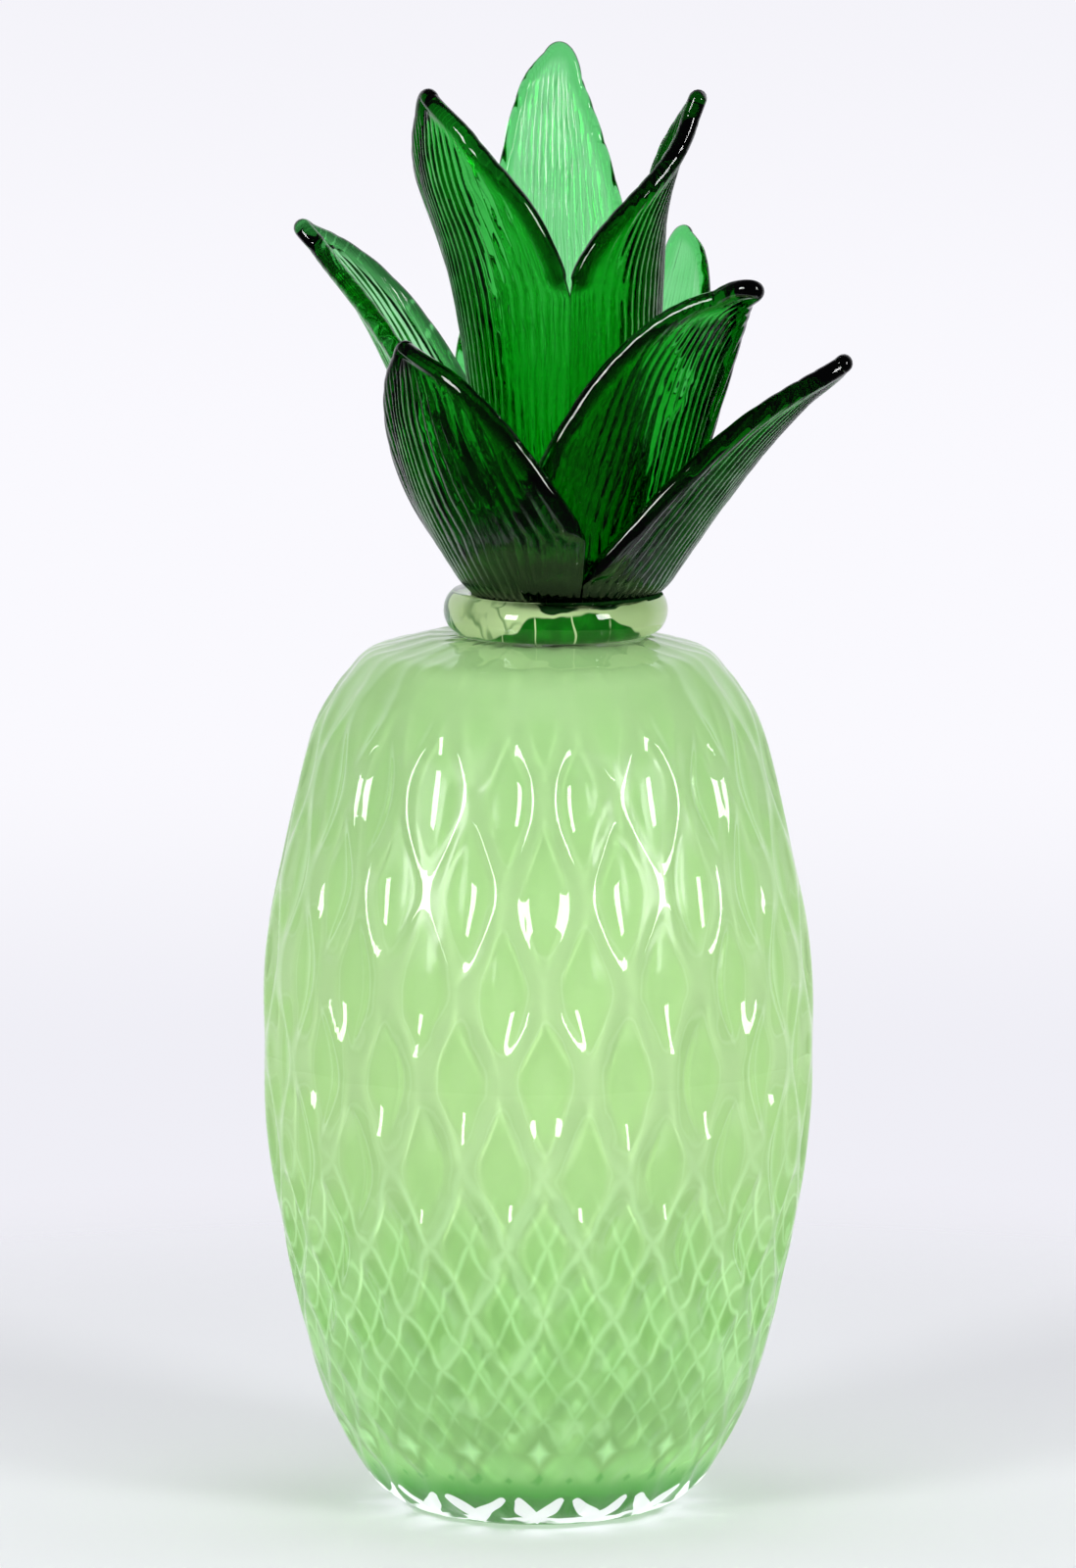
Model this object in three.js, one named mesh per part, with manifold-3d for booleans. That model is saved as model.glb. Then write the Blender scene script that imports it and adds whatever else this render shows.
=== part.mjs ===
// Glass pineapple ornament, in millimetres, Z up, front towards -Y.
// A blown bubble of pale green opal glass is cased in thick clear glass with a diamond relief.
// A hot clear collar closes its mouth and carries the crown: three nested cups of ribbed green
// glass, three leaves to a cup, gathered on a green hub. The foot is ground flat at z = 0.
import * as THREE from "three";
import Module from "manifold-3d";

// Body
const bodyHeight = 240;
const bodyRadius = 75;
const bellyHeight = 122;
const footRadius = 36;
const crestRadius = 30;
const crestDrop = 0.7;
const outlineSteps = 400;
const mouthRadius = 20;
const casingWall = 4;
const casingFoot = 12;
const bubbleWall = 2.2;
const bubbleFoot = 3;

// Diamond relief of the casing
const diamondsAround = 20;
const diamondHeight = 50.4;
const diamondShrink = 0.85;
const shoulderDrop = 36.6;
const lowestDiamond = 4;
const reliefAtFoot = 1.7;
const reliefAtShoulder = 0.8;

// Clear collar between the body and the crown
const collarRadius = 30.6;
const collarHeight = 12;
const collarShift = 4.8;
const collarWaist = 25.5;
const collarTurns = [-90, -65, -40, -15, 15, 40, 65, 90];
const plugDepth = 11;
const plugEdge = 2;
const printSetOut = 0.45;

// Crown
const crownShift = 7.6;
const crownSink = 9;
const cupRadius = 32;
const cupDepth = 20;
const cupStep = 4.6;
const leafWall = 3;
const rimRoll = 0.6;
const tipSpring = 0.36;
const tipWidth = 0.8;
const latestParting = 0.9;
const rimStart = 0.7;
const rimFade = 0.15;
const edgeBulge = 0.8;
const edgeFade = 0.1;
const sideFullness = 1.6;
const tipThinning = 0.75;
const tipThinningPower = 10;
const rootGap = 0.8;

// Hub under the leaves
const hubStem = 5;
const hubChamfer = 1;
const hubRadius = 11;
const hubHead = 6;
const hubBand = 0.8;
const hubTurns = [0, 25, 50, 72];

// Clearances where hot-joined pieces meet
const clearance = 0.3;

// Mesh steps
const casingColumns = 2 * diamondsAround;
const bubbleColumns = diamondsAround;
const collarColumns = 40;
const hubColumns = 16;
const leafColumns = 10;
const printRows = 8;
const bowlRows = 4;
const bladeRows = 13;
const tipCrowding = 1.4;
const shareStep = 0.01;

const manifold = await Module();
manifold.setup();

const zAxis = new THREE.Vector3(0, 0, 1);
const degrees = THREE.MathUtils.degToRad;
const mix = THREE.MathUtils.lerp;
const ease = THREE.MathUtils.smoothstep;

// Swell of the body: shares of the way out from the foot to the belly, and in again to the crest.
const lowerSwell = [
  [0, 0], [0.064, 0.246], [0.17, 0.451], [0.294, 0.615], [0.516, 0.795], [0.779, 0.949],
];
const upperSwell = [
  [0, 1], [0.229, 0.989], [0.415, 0.922], [0.593, 0.818], [0.78, 0.693], [0.871, 0.569],
];
const shoulderTurn = [[0.911, 0.489], [0.96, 0.369], [0.98, 0.2]];

// Rows of the shoulder between the top diamonds and the crest, as shares of the way up.
const shoulderRows = [0.35, 0.65, 0.8, 0.9, 0.97, 1];

// One row per cup. Its bowl turns up through the sweep, and its leaves part at the seams, which are
// azimuths from the front towards the right. One row per leaf: the azimuth of its blade; the reach
// and rise of its tip and the tip's lean from level; how far the blade springs up before it leans and
// the radius that it curls to; and for its left and right edge, seen from outside, the height at
// which the edge leaves its neighbour and how fast it draws in.
const tiers = [
  {
    name: "outer",
    sweep: 68,
    seams: [-112, 8, 128],
    leaves: [
      leafSizes("front_left", -60, [49.5, 79, 100], [0.26, 34], [14, 0.7], [27, 0.5]),
      leafSizes("right", 68, [82, 75, 40], [0.36, 20], [14, 0.75], [14, 0.75]),
      leafSizes("back", 198, [66, 88, 55], [0.34, 26], [14, 0.8], [14, 0.6]),
    ],
  },
  {
    name: "middle",
    sweep: 76,
    seams: [-30, 96, 204],
    leaves: [
      leafSizes("front_right", 44, [74, 96, 12], [0.38, 22], [26, 1.8], [26, 0.75]),
      leafSizes("back_right", 148, [62, 102, 60], [0.36, 24], [32, 0.6], [32, 1.4]),
      leafSizes("left", 252, [77, 106, 42], [0.42, 14], [32, 0.6], [32, 1.2]),
    ],
  },
  {
    name: "inner",
    sweep: 88,
    seams: [-118, 2, 122],
    leaves: [
      leafSizes("front_left", -64, [41, 146, 92], [0.9, 20], [60, 0.6], [86, 0.45]),
      leafSizes("right", 72, [38, 145, 76], [0.7, 10], [86, 2.2], [60, 0.8]),
      leafSizes("back", 183, [35, 154, 85], [0.6, 30], [40, 0.7], [40, 0.42]),
    ],
  },
];

function leafSizes(name, azimuth, [reach, rise, lean], [spring, curl], left, right) {
  return { name, azimuth, reach, rise, lean, spring, curl, left, right };
}

const crownUnderside = bodyHeight + clearance + collarHeight - crownSink;

function meshFrom(points, triangles) {
  const numbers = points.flatMap((point) => point.toArray());
  const geometry = new THREE.BufferGeometry();
  geometry.setAttribute("position", new THREE.Float32BufferAttribute(numbers, 3));
  geometry.setIndex(triangles.flat());
  geometry.computeVertexNormals();
  return geometry;
}

// A closed body spun about an upright axis that may shift sideways with height. Its profile runs
// from the pole at the bottom, up the outside, and on to the pole where it ends. press(column, row)
// pushes a point inwards, and crossed(column, row) turns the diagonal of a four-sided face.
function spun(profile, columns, press = () => 0, crossed = () => false) {
  const points = [];
  const triangles = [];
  const inner = profile.slice(1, -1);
  inner.forEach((spot, row) => {
    for (let column = 0; column < columns; column++) {
      const angle = (2 * Math.PI * column) / columns;
      const radius = spot.r - press(column, row);
      const x = spot.x + radius * Math.sin(angle);
      points.push(new THREE.Vector3(x, -radius * Math.cos(angle), spot.z));
    }
  });
  const first = points.push(new THREE.Vector3(profile[0].x, 0, profile[0].z)) - 1;
  const last = points.push(new THREE.Vector3(profile.at(-1).x, 0, profile.at(-1).z)) - 1;
  for (let column = 0; column < columns; column++) {
    const next = (column + 1) % columns;
    triangles.push([first, next, column]);
    for (let row = 0; row < inner.length - 1; row++) {
      const a = row * columns + column;
      const b = row * columns + next;
      const c = a + columns;
      const d = b + columns;
      triangles.push(...(crossed(column, row) ? [[a, b, c], [b, d, c]] : [[a, b, d], [a, d, c]]));
    }
    const top = (inner.length - 1) * columns;
    triangles.push([last, top + column, top + next]);
  }
  return meshFrom(points, triangles);
}

// The body's outline as a smooth curve from the foot's edge to the crest.
function bodyOutline() {
  const low = lowerSwell.map(([height, swell]) => [
    mix(footRadius, bodyRadius, swell),
    height * bellyHeight,
  ]);
  const crest = bodyHeight - crestDrop;
  const high = [...upperSwell, ...shoulderTurn, [1, 0]].map(([height, swell]) => [
    mix(crestRadius, bodyRadius, swell),
    mix(bellyHeight, crest, height),
  ]);
  const curve = new THREE.SplineCurve([...low, ...high].map(([r, z]) => new THREE.Vector2(r, z)));
  return curve.getPoints(outlineSteps);
}

const outline = bodyOutline();

function radiusAt(height) {
  const after = outline.findIndex((spot) => spot.y >= height);
  if (after <= 0) return after === 0 ? outline[0].x : outline.at(-1).x;
  const low = outline[after - 1];
  const high = outline[after];
  return mix(low.x, high.x, (height - low.y) / (high.y - low.y));
}

// Heights of the rows of diamonds, closer together below the belly.
function diamondRows() {
  const rows = [];
  let step = diamondHeight / 2;
  for (let height = bodyHeight - shoulderDrop; height > lowestDiamond; height -= step) {
    rows.unshift(height);
    if (height < bellyHeight) step *= diamondShrink;
  }
  return rows;
}

const diamondHeights = diamondRows();
const shoulderHeights = shoulderRows.map((share) =>
  mix(bodyHeight - shoulderDrop, bodyHeight - crestDrop, share),
);

// The body's surface from foot to mouth, set in by a side wall, a foot and a top.
function bodyProfile(side, foot, top, mouth) {
  const squeeze = (bodyHeight - foot - top) / bodyHeight;
  const spots = [[footRadius, 0]];
  for (const height of [...diamondHeights, ...shoulderHeights]) {
    spots.push([radiusAt(height), height]);
  }
  const set = spots.map(([r, z]) => ({ r: r - side, z: foot + z * squeeze, x: 0 }));
  return [...set, { r: mouth, z: bodyHeight - top, x: 0 }];
}

// A wall between an outside and an inside profile, open at the mouth and closed at the foot.
function shell(outside, inside, columns, press, crossed) {
  const floor = { r: 0, z: outside[0].z, x: 0 };
  const bottom = { r: 0, z: inside[0].z, x: 0 };
  return spun([floor, ...outside, ...inside.toReversed(), bottom], columns, press, crossed);
}

// The clear casing: every second crossing of its rows and columns is pressed in as a hollow, and the
// faces fold along the ridges between the hollows.
function clearCasing() {
  const rows = diamondHeights.length;
  const isRelief = (row) => row >= 1 && row <= rows;
  const isHollow = (column, row) => (column + rows - row) % 2 === 1;
  const press = (column, row) => {
    if (!isRelief(row) || !isHollow(column, row)) return 0;
    return mix(reliefAtFoot, reliefAtShoulder, diamondHeights[row - 1] / bodyHeight);
  };
  const crossed = (column, row) => isHollow(column, row);
  const outside = bodyProfile(0, 0, 0, mouthRadius);
  const inside = bodyProfile(casingWall, casingFoot, casingWall, mouthRadius);
  return shell(outside, inside, casingColumns, press, crossed);
}

// The opal bubble inside the casing.
function greenBubble() {
  const side = casingWall + clearance;
  const foot = casingFoot + clearance;
  const mouth = mouthRadius + clearance;
  const outside = bodyProfile(side, foot, side, mouth);
  const inside = bodyProfile(side + bubbleWall, foot + bubbleFoot, side + bubbleWall, mouth);
  return shell(outside, inside, bubbleColumns);
}

function solidOf(geometry) {
  const vertProperties = geometry.getAttribute("position").array;
  const triVerts = new Uint32Array(geometry.getIndex().array);
  return new manifold.Manifold(new manifold.Mesh({ numProp: 3, vertProperties, triVerts }));
}

function geometryOf(solid) {
  const { vertProperties, triVerts } = solid.getMesh();
  const geometry = new THREE.BufferGeometry();
  geometry.setAttribute("position", new THREE.Float32BufferAttribute(vertProperties, 3));
  geometry.setIndex(Array.from(triVerts));
  geometry.computeVertexNormals();
  return geometry;
}

// The hollow that the crown's bowl presses into the collar.
function bowlPrint() {
  const rim = crownUnderside + cupDepth;
  const profile = [];
  for (let row = 0; row <= printRows; row++) {
    const angle = (row * Math.PI) / 2 / printRows;
    profile.push({
      r: (cupRadius + printSetOut) * Math.sin(angle),
      z: rim - (cupDepth + printSetOut) * Math.cos(angle),
      x: crownShift,
    });
  }
  profile.push({ r: 0, z: rim, x: crownShift });
  return spun(profile, collarColumns);
}

// The collar: a plug in the body's mouth and a rounded bulge over it, dented by the crown's bowl.
function clearCollar() {
  const underside = bodyHeight + clearance;
  const plug = mouthRadius - clearance;
  const half = collarHeight / 2;
  const profile = [
    { r: 0, z: bodyHeight - plugDepth, x: 0 },
    { r: plug - plugEdge, z: bodyHeight - plugDepth, x: 0 },
    { r: plug, z: bodyHeight - plugDepth + plugEdge, x: 0 },
    { r: plug, z: underside, x: 0 },
  ];
  for (const turn of collarTurns) {
    profile.push({
      r: collarWaist + (collarRadius - collarWaist) * Math.cos(degrees(turn)),
      z: underside + half + half * Math.sin(degrees(turn)),
      x: collarShift,
    });
  }
  profile.push({ r: 0, z: underside + collarHeight, x: collarShift });
  return geometryOf(solidOf(spun(profile, collarColumns)).subtract(solidOf(bowlPrint())));
}

// The elliptical bowl of a cup's middle surface: how wide and how deep it is.
function bowlOf(level) {
  return {
    wide: cupRadius - level * cupStep - leafWall / 2,
    deep: cupDepth - level * (leafWall + clearance) - leafWall / 2,
  };
}

// The green hub: a stem through the leaf bases and a domed head on top of them.
function crownHub() {
  const floor = crownUnderside + clearance;
  const { wide, deep } = bowlOf(tiers.length - 1);
  const reach = hubRadius / (wide - leafWall / 2);
  const rise = cupDepth - (deep - leafWall / 2) * Math.sqrt(1 - reach ** 2);
  const seat = crownUnderside + rise + clearance;
  const profile = [
    { r: 0, z: floor, x: crownShift },
    { r: hubStem - hubChamfer, z: floor, x: crownShift },
    { r: hubStem, z: floor + hubChamfer, x: crownShift },
    { r: hubStem, z: seat, x: crownShift },
  ];
  for (const turn of hubTurns) {
    profile.push({
      r: hubRadius * Math.cos(degrees(turn)),
      z: seat + hubBand + (hubHead - hubBand) * Math.sin(degrees(turn)),
      x: crownShift,
    });
  }
  profile.push({ r: 0, z: seat + hubHead, x: crownShift });
  return spun(profile, hubColumns);
}

// The middle line of a leaf in its upright plane: along the bowl of its cup, then up its blade.
function leafPath(level, sweep, leaf) {
  const { wide, deep } = bowlOf(level);
  const bowl = (angle) => new THREE.Vector2(wide * Math.sin(angle), cupDepth - deep * Math.cos(angle));
  const start = Math.asin((hubStem + rootGap) / wide);
  const end = degrees(sweep);
  const root = bowl(end);
  const heading = new THREE.Vector2(wide * Math.cos(end), deep * Math.sin(end)).normalize();
  const tip = new THREE.Vector2(leaf.reach, leaf.rise);
  const lean = new THREE.Vector2(Math.cos(degrees(leaf.lean)), Math.sin(degrees(leaf.lean)));
  const length = root.distanceTo(tip);
  const blade = new THREE.CubicBezierCurve(
    root,
    root.clone().addScaledVector(heading, leaf.spring * length),
    tip.clone().addScaledVector(lean, -tipSpring * length),
    tip,
  );
  return { bowl: (share) => bowl(mix(start, end, share)), blade };
}

// Share of the blade at which its path reaches a height.
function shareAtHeight(blade, height) {
  let share = 0;
  while (share < latestParting && blade.getPoint(share).y < height) share += shareStep;
  return share;
}

// A leaf's middle surface and thickness: across runs from -1 at the left edge to 1 at the right,
// and along from 0 at the hub through 1 at the top of the bowl to 2 at the tip.
function leafSurface(level, tier, leaf, leftSeam, rightSeam) {
  const path = leafPath(level, tier.sweep, leaf);
  const [leftParting, rightParting] = [leaf.left, leaf.right].map(([height]) =>
    shareAtHeight(path.blade, height),
  );
  const parting = Math.max(leftParting, rightParting);
  const out = new THREE.Vector3(Math.sin(degrees(leaf.azimuth)), -Math.cos(degrees(leaf.azimuth)), 0);
  const side = new THREE.Vector3().crossVectors(zAxis, out);
  const lift = (r, h) => out.clone().multiplyScalar(r).addScaledVector(zAxis, h);
  const sector = (radius, across) => {
    const turn = across < 0 ? leaf.azimuth - leftSeam : rightSeam - leaf.azimuth;
    return degrees(turn) - clearance / 2 / radius;
  };
  const freeAfter = (along, share) => Math.max(0, (along - 1 - share) / (1 - share));
  const halfWidth = (across, along, radius) => {
    const [share, draw] = across < 0 ? [leftParting, leaf.left[1]] : [rightParting, leaf.right[1]];
    const free = freeAfter(along, share);
    if (free === 0) return radius * sector(radius, across);
    const wide = path.blade.getPoint(share).x;
    return Math.max(wide * sector(wide, across) * (1 - free ** sideFullness) ** draw, tipWidth);
  };

  return (across, along) => {
    const inBowl = along <= 1;
    const spot = inBowl ? path.bowl(along) : path.blade.getPoint(along - 1);
    const free = freeAfter(along, parting);
    const bend = ease(free, 0, 1);
    const radius = mix(spot.x, leaf.curl, bend);
    const width = halfWidth(across, along, spot.x);
    const heading = inBowl ? new THREE.Vector2(0, 1) : path.blade.getTangent(along - 1);
    const inward = lift(-mix(1, heading.y, bend), mix(0, heading.x, bend)).normalize();
    const angle = (across * width) / radius;
    const place = side.clone().multiplyScalar(radius * Math.sin(angle));
    place.addScaledVector(inward, radius * (1 - Math.cos(angle)));
    place.add(lift(spot.x, spot.y));
    const edge = ease(Math.abs(across), rimStart, 1) * ease(free, 0, rimFade);
    const thin = Math.sqrt(1 - tipThinning * free ** tipThinningPower);
    return { place, half: (leafWall / 2) * (1 + rimRoll * edge) * thin, free };
  };
}

// The outward normal of a leaf's middle surface.
function leafNormal(surface, across, along) {
  const left = surface(across - shareStep, along).place;
  const right = surface(across + shareStep, along).place;
  const below = surface(across, Math.max(along - shareStep, 0)).place;
  const above = surface(across, Math.min(along + shareStep, 2)).place;
  return new THREE.Vector3().crossVectors(right.sub(left), above.sub(below)).normalize();
}

// A closed ring of points round the leaf: outer face left to right, edge, inner face back, edge.
function leafRing(surface, along) {
  const outer = [];
  const inner = [];
  for (let column = 0; column <= leafColumns; column++) {
    const across = (2 * column) / leafColumns - 1;
    const { place, half } = surface(across, along);
    const normal = leafNormal(surface, across, along);
    outer.push(place.clone().addScaledVector(normal, half));
    inner.unshift(place.clone().addScaledVector(normal, -half));
  }
  const edge = (across) => {
    const { place, half, free } = surface(across, along);
    const inside = surface(across * (1 - shareStep), along).place;
    const outwards = place.clone().sub(inside).normalize();
    return place.addScaledVector(outwards, half * edgeBulge * ease(free, 0, edgeFade));
  };
  return [...outer, edge(1), ...inner, edge(-1)];
}

// Joins rings of points along a leaf and closes both ends with strips across its thickness.
function lofted(rings) {
  const around = rings[0].length;
  const points = rings.flat();
  const triangles = [];
  for (let ring = 0; ring < rings.length - 1; ring++) {
    for (let k = 0; k < around; k++) {
      const a = ring * around + k;
      const b = ring * around + ((k + 1) % around);
      triangles.push([a, b, b + around], [a, b + around, a + around]);
    }
  }
  const strip = (base, turn) => {
    let low = base + around - 1;
    let high = base;
    while (low - high > 1) {
      triangles.push(turn([high, low, high + 1]));
      high += 1;
      if (low - high > 1) triangles.push(turn([high, low, low - 1]));
      low -= 1;
    }
  };
  strip(0, ([a, b, c]) => [a, b, c]);
  strip((rings.length - 1) * around, ([a, b, c]) => [a, c, b]);
  return meshFrom(points, triangles);
}

// A leaf from its root at the hub to its tip, with rows closer together towards the tip.
function leafBlade(surface) {
  const rings = [];
  for (let row = 0; row < bowlRows; row++) rings.push(leafRing(surface, row / bowlRows));
  for (let row = 0; row <= bladeRows; row++) {
    rings.push(leafRing(surface, 2 - (1 - row / bladeRows) ** tipCrowding));
  }
  return lofted(rings);
}

const clearGlass = new THREE.MeshStandardMaterial({ color: 0xe6f2e0, roughness: 0.03, metalness: 0 });
const opalGlass = new THREE.MeshStandardMaterial({ color: 0xa2d88a, roughness: 0.2, metalness: 0 });
const leafGlass = new THREE.MeshStandardMaterial({ color: 0x0c6b1e, roughness: 0.05, metalness: 0 });

function piece(name, geometry, material, parent) {
  const mesh = new THREE.Mesh(geometry, material);
  mesh.name = name;
  parent.add(mesh);
}

const ornament = new THREE.Group();
piece("clear_casing", clearCasing(), clearGlass, ornament);
piece("green_bubble", greenBubble(), opalGlass, ornament);
piece("clear_collar", clearCollar(), clearGlass, ornament);
piece("crown_hub", crownHub(), leafGlass, ornament);

const crown = new THREE.Group();
crown.position.set(crownShift, 0, crownUnderside);
ornament.add(crown);
tiers.forEach((tier, index) => {
  tier.leaves.forEach((leaf, k) => {
    const rightSeam = tier.seams[k + 1] ?? tier.seams[0] + 360;
    const surface = leafSurface(index, tier, leaf, tier.seams[k], rightSeam);
    piece(`${tier.name}_leaf_${leaf.name}`, leafBlade(surface), leafGlass, crown);
  });
});

export default ornament;
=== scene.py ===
# %% [markdown]
# # A glass pineapple
# The ornament is hot-worked glass: a pale green bubble, cased in thick clear glass with a relief of
# diamonds, a clear collar on its mouth, and a crown of ribbed green leaves. Everything that shows is
# glass, so this lesson is about light: what a smooth clear surface reflects, what it bends, and how a
# green wall gets darker with its thickness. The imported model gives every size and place.

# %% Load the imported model
import math

import bmesh
import bpy
import numpy as np
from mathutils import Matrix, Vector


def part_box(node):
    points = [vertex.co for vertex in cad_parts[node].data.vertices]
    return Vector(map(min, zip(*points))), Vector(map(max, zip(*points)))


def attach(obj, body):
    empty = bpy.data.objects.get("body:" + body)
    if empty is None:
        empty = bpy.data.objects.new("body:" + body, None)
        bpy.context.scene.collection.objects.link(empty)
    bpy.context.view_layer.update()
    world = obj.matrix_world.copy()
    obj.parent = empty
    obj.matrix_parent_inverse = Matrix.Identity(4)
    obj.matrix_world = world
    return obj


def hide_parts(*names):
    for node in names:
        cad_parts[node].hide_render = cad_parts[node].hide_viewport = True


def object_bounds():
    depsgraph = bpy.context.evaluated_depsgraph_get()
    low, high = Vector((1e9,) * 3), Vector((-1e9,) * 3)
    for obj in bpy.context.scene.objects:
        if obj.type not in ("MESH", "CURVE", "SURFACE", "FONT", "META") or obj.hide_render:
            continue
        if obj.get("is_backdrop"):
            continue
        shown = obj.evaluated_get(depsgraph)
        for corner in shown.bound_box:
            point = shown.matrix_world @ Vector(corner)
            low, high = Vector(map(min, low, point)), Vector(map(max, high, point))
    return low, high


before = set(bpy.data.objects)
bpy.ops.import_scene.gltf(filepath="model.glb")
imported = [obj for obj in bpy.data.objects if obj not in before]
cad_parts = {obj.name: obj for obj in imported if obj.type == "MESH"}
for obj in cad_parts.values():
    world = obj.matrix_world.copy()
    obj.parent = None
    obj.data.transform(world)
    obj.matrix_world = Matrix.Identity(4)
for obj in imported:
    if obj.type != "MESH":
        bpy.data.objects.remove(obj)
cad_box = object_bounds()
MM = 0.001
casing_low, casing_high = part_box("clear_casing")
collar_low, collar_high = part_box("clear_collar")
COLLAR_SHIFT = (collar_low.x + collar_high.x) / 2 / MM


def link(name, data):
    """A new object of some mesh, camera or lamp, in the scene."""
    thing = bpy.data.objects.new(name, data)
    bpy.context.scene.collection.objects.link(thing)
    return thing


print("CAD box", [[round(v, 4) for v in corner] for corner in cad_box])

# %% [markdown]
# ## Camera
# The photograph was taken from far away with a long lens, looking down a little. The distance, height
# and tilt were worked out from the ellipses of the foot and the collar, and the focal length from the
# height of the ornament in the picture. The picture is 1098 by 1600 pixels.

# %% Camera
PICTURE = (1098, 1600)
CAMERA_DISTANCE = 3.2
CAMERA_HEIGHT = 0.680
CAMERA_TILT = 8.56
FOCAL_PIXELS = 12165
SENSOR = 36.0


def make_camera():
    data = bpy.data.cameras.new("camera")
    data.sensor_fit = "VERTICAL"
    data.sensor_height = SENSOR
    data.lens = FOCAL_PIXELS / PICTURE[1] * SENSOR
    data.clip_end = 100
    camera = link("camera", data)
    camera.location = (0, -CAMERA_DISTANCE, CAMERA_HEIGHT)
    camera.rotation_euler = (math.radians(90 - CAMERA_TILT), 0, 0)
    bpy.context.scene.camera = camera
    return camera


camera = make_camera()
print(f"lens {camera.data.lens:.0f} mm at {CAMERA_DISTANCE} m")

# %% [markdown]
# ## Writing nodes as sums
# Shaders, the world and Geometry Nodes are all trees of nodes. `Nodes.add` makes any node from its
# type, its settings and the values or links of its sockets. A `Value` wraps one output socket, and
# Python's operators on it add Math nodes, so `1 - mask` reads as it does on paper.


# %% Node helpers
def operator(operation):
    """A Python operator that adds a Math node."""
    return lambda value, other: value.maths(operation, other)


class Value:
    """One output socket, with Python's operators as Math nodes."""

    __add__ = __radd__ = operator("ADD")
    __mul__ = __rmul__ = operator("MULTIPLY")
    __sub__ = operator("SUBTRACT")
    __truediv__ = operator("DIVIDE")
    __pow__ = operator("POWER")

    def __init__(self, nodes, socket):
        self.nodes = nodes
        self.socket = socket

    def maths(self, operation, *values):
        inputs = dict(enumerate([self, *values]))
        return self.nodes.add("ShaderNodeMath", {"operation": operation}, inputs)

    def __rsub__(self, other):
        return self.nodes.add("ShaderNodeMath", {"operation": "SUBTRACT"}, {0: other, 1: self})

    def __abs__(self):
        return self.maths("ABSOLUTE")

    def sine(self):
        return self.maths("SINE")

    def from_whole(self):
        """How far it is from the nearest whole number."""
        return abs((self + 0.5).maths("FRACT") - 0.5)

    def eased(self, low, high):
        """0 below low, 1 above high and a smooth rise between them."""
        inputs = {"Value": self, "From Min": low, "From Max": high}
        return self.nodes.add("ShaderNodeMapRange", {"interpolation_type": "SMOOTHSTEP"}, inputs)


class Nodes:
    """A node tree and the methods that fill it."""

    def __init__(self, tree):
        self.tree = tree
        tree.nodes.clear()

    def add(self, kind, settings=None, inputs=None, output=0):
        node = self.tree.nodes.new(kind)
        for name, setting in (settings or {}).items():
            setattr(node, name, setting)
        for key, value in (inputs or {}).items():
            if isinstance(value, Value):
                self.tree.links.new(value.socket, node.inputs[key])
            else:
                node.inputs[key].default_value = value
        return Value(self, node.outputs[output]) if node.outputs else node

    def mix(self, factor, first, second):
        """A blend of two colours."""
        inputs = {"Factor": factor, 6: first, 7: second}
        return self.add("ShaderNodeMix", {"data_type": "RGBA"}, inputs, 2)

    def part(self, vector, number):
        """The x, y or z of a vector, as number is 0, 1 or 2."""
        return self.add("ShaderNodeSeparateXYZ", inputs={"Vector": vector}, output=number)

    def noise(self, where, scale, detail=2.0, seed=None):
        """Smooth noise around 0.5. A seed moves it along a fourth dimension."""
        inputs = {"Vector": where, "Scale": scale, "Detail": detail}
        if seed is None:
            return self.add("ShaderNodeTexNoise", inputs=inputs)
        inputs["W"] = seed
        return self.add("ShaderNodeTexNoise", {"noise_dimensions": "4D"}, inputs)

    def ray(self, kind):
        """1 for rays of one kind, named as the Light Path node names them."""
        return self.add("ShaderNodeLightPath", output=kind)

    def stored(self, name):
        """A named attribute of the mesh."""
        return self.add("ShaderNodeAttribute", {"attribute_name": name}, output=2)

    def surface(self, shade):
        self.add("ShaderNodeOutputMaterial", inputs={"Surface": shade})


def material_nodes(name):
    material = bpy.data.materials.new(name)
    material.use_nodes = True
    return material, Nodes(material.node_tree)


def spot_of(nodes, shift=0.0):
    """Where a point of a piece is, its height and its angle from the front, round a shifted axis."""
    where = nodes.add("ShaderNodeTexCoord", output="Object")
    x, y, height = (nodes.part(where, number) for number in range(3))
    return where, height, (x - shift).maths("ARCTAN2", y * -1)


print("node helpers ready")

# %% [markdown]
# ## Floor, world and lamps
# Glass shows its surroundings. Behind the ornament is a white wall, and in front of it a dark room with
# two softboxes, left and right. The camera sees the wall. Reflections and rays bent by glass see the
# wall behind and the dark room in front, which is what makes the rims of the leaves nearly black.
# Matte surfaces get a soft light, brighter from behind. Large fills brighten the front, the top and
# the sides without being reflected. The floor is a plain pale disc that fades into the foot of the
# wall, and in reflections it ends close round the ornament.

# %% World
WALL_FOOT = (0.865, 0.86, 0.92, 1)
WALL_MIDDLE = (0.955, 0.947, 0.993, 1)
WALL_TOP = (0.90, 0.893, 0.945, 1)
AMBIENT_BACK = (0.95, 0.95, 0.975, 1)
AMBIENT_FRONT = (0.26, 0.26, 0.28, 1)
ROOM = (0.035, 0.035, 0.04, 1)
# Where one turns into the next, as heights or depths of the direction of view.
FOOT_TO_MIDDLE = (-0.172, -0.145)
MIDDLE_TO_TOP = (-0.125, -0.07)
ROOM_TO_WALL = (0.25, 0.7)
WALL_TO_CEILING = (0.45, 0.8)
FRONT_TO_BACK = (-0.5, 0.5)


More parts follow.
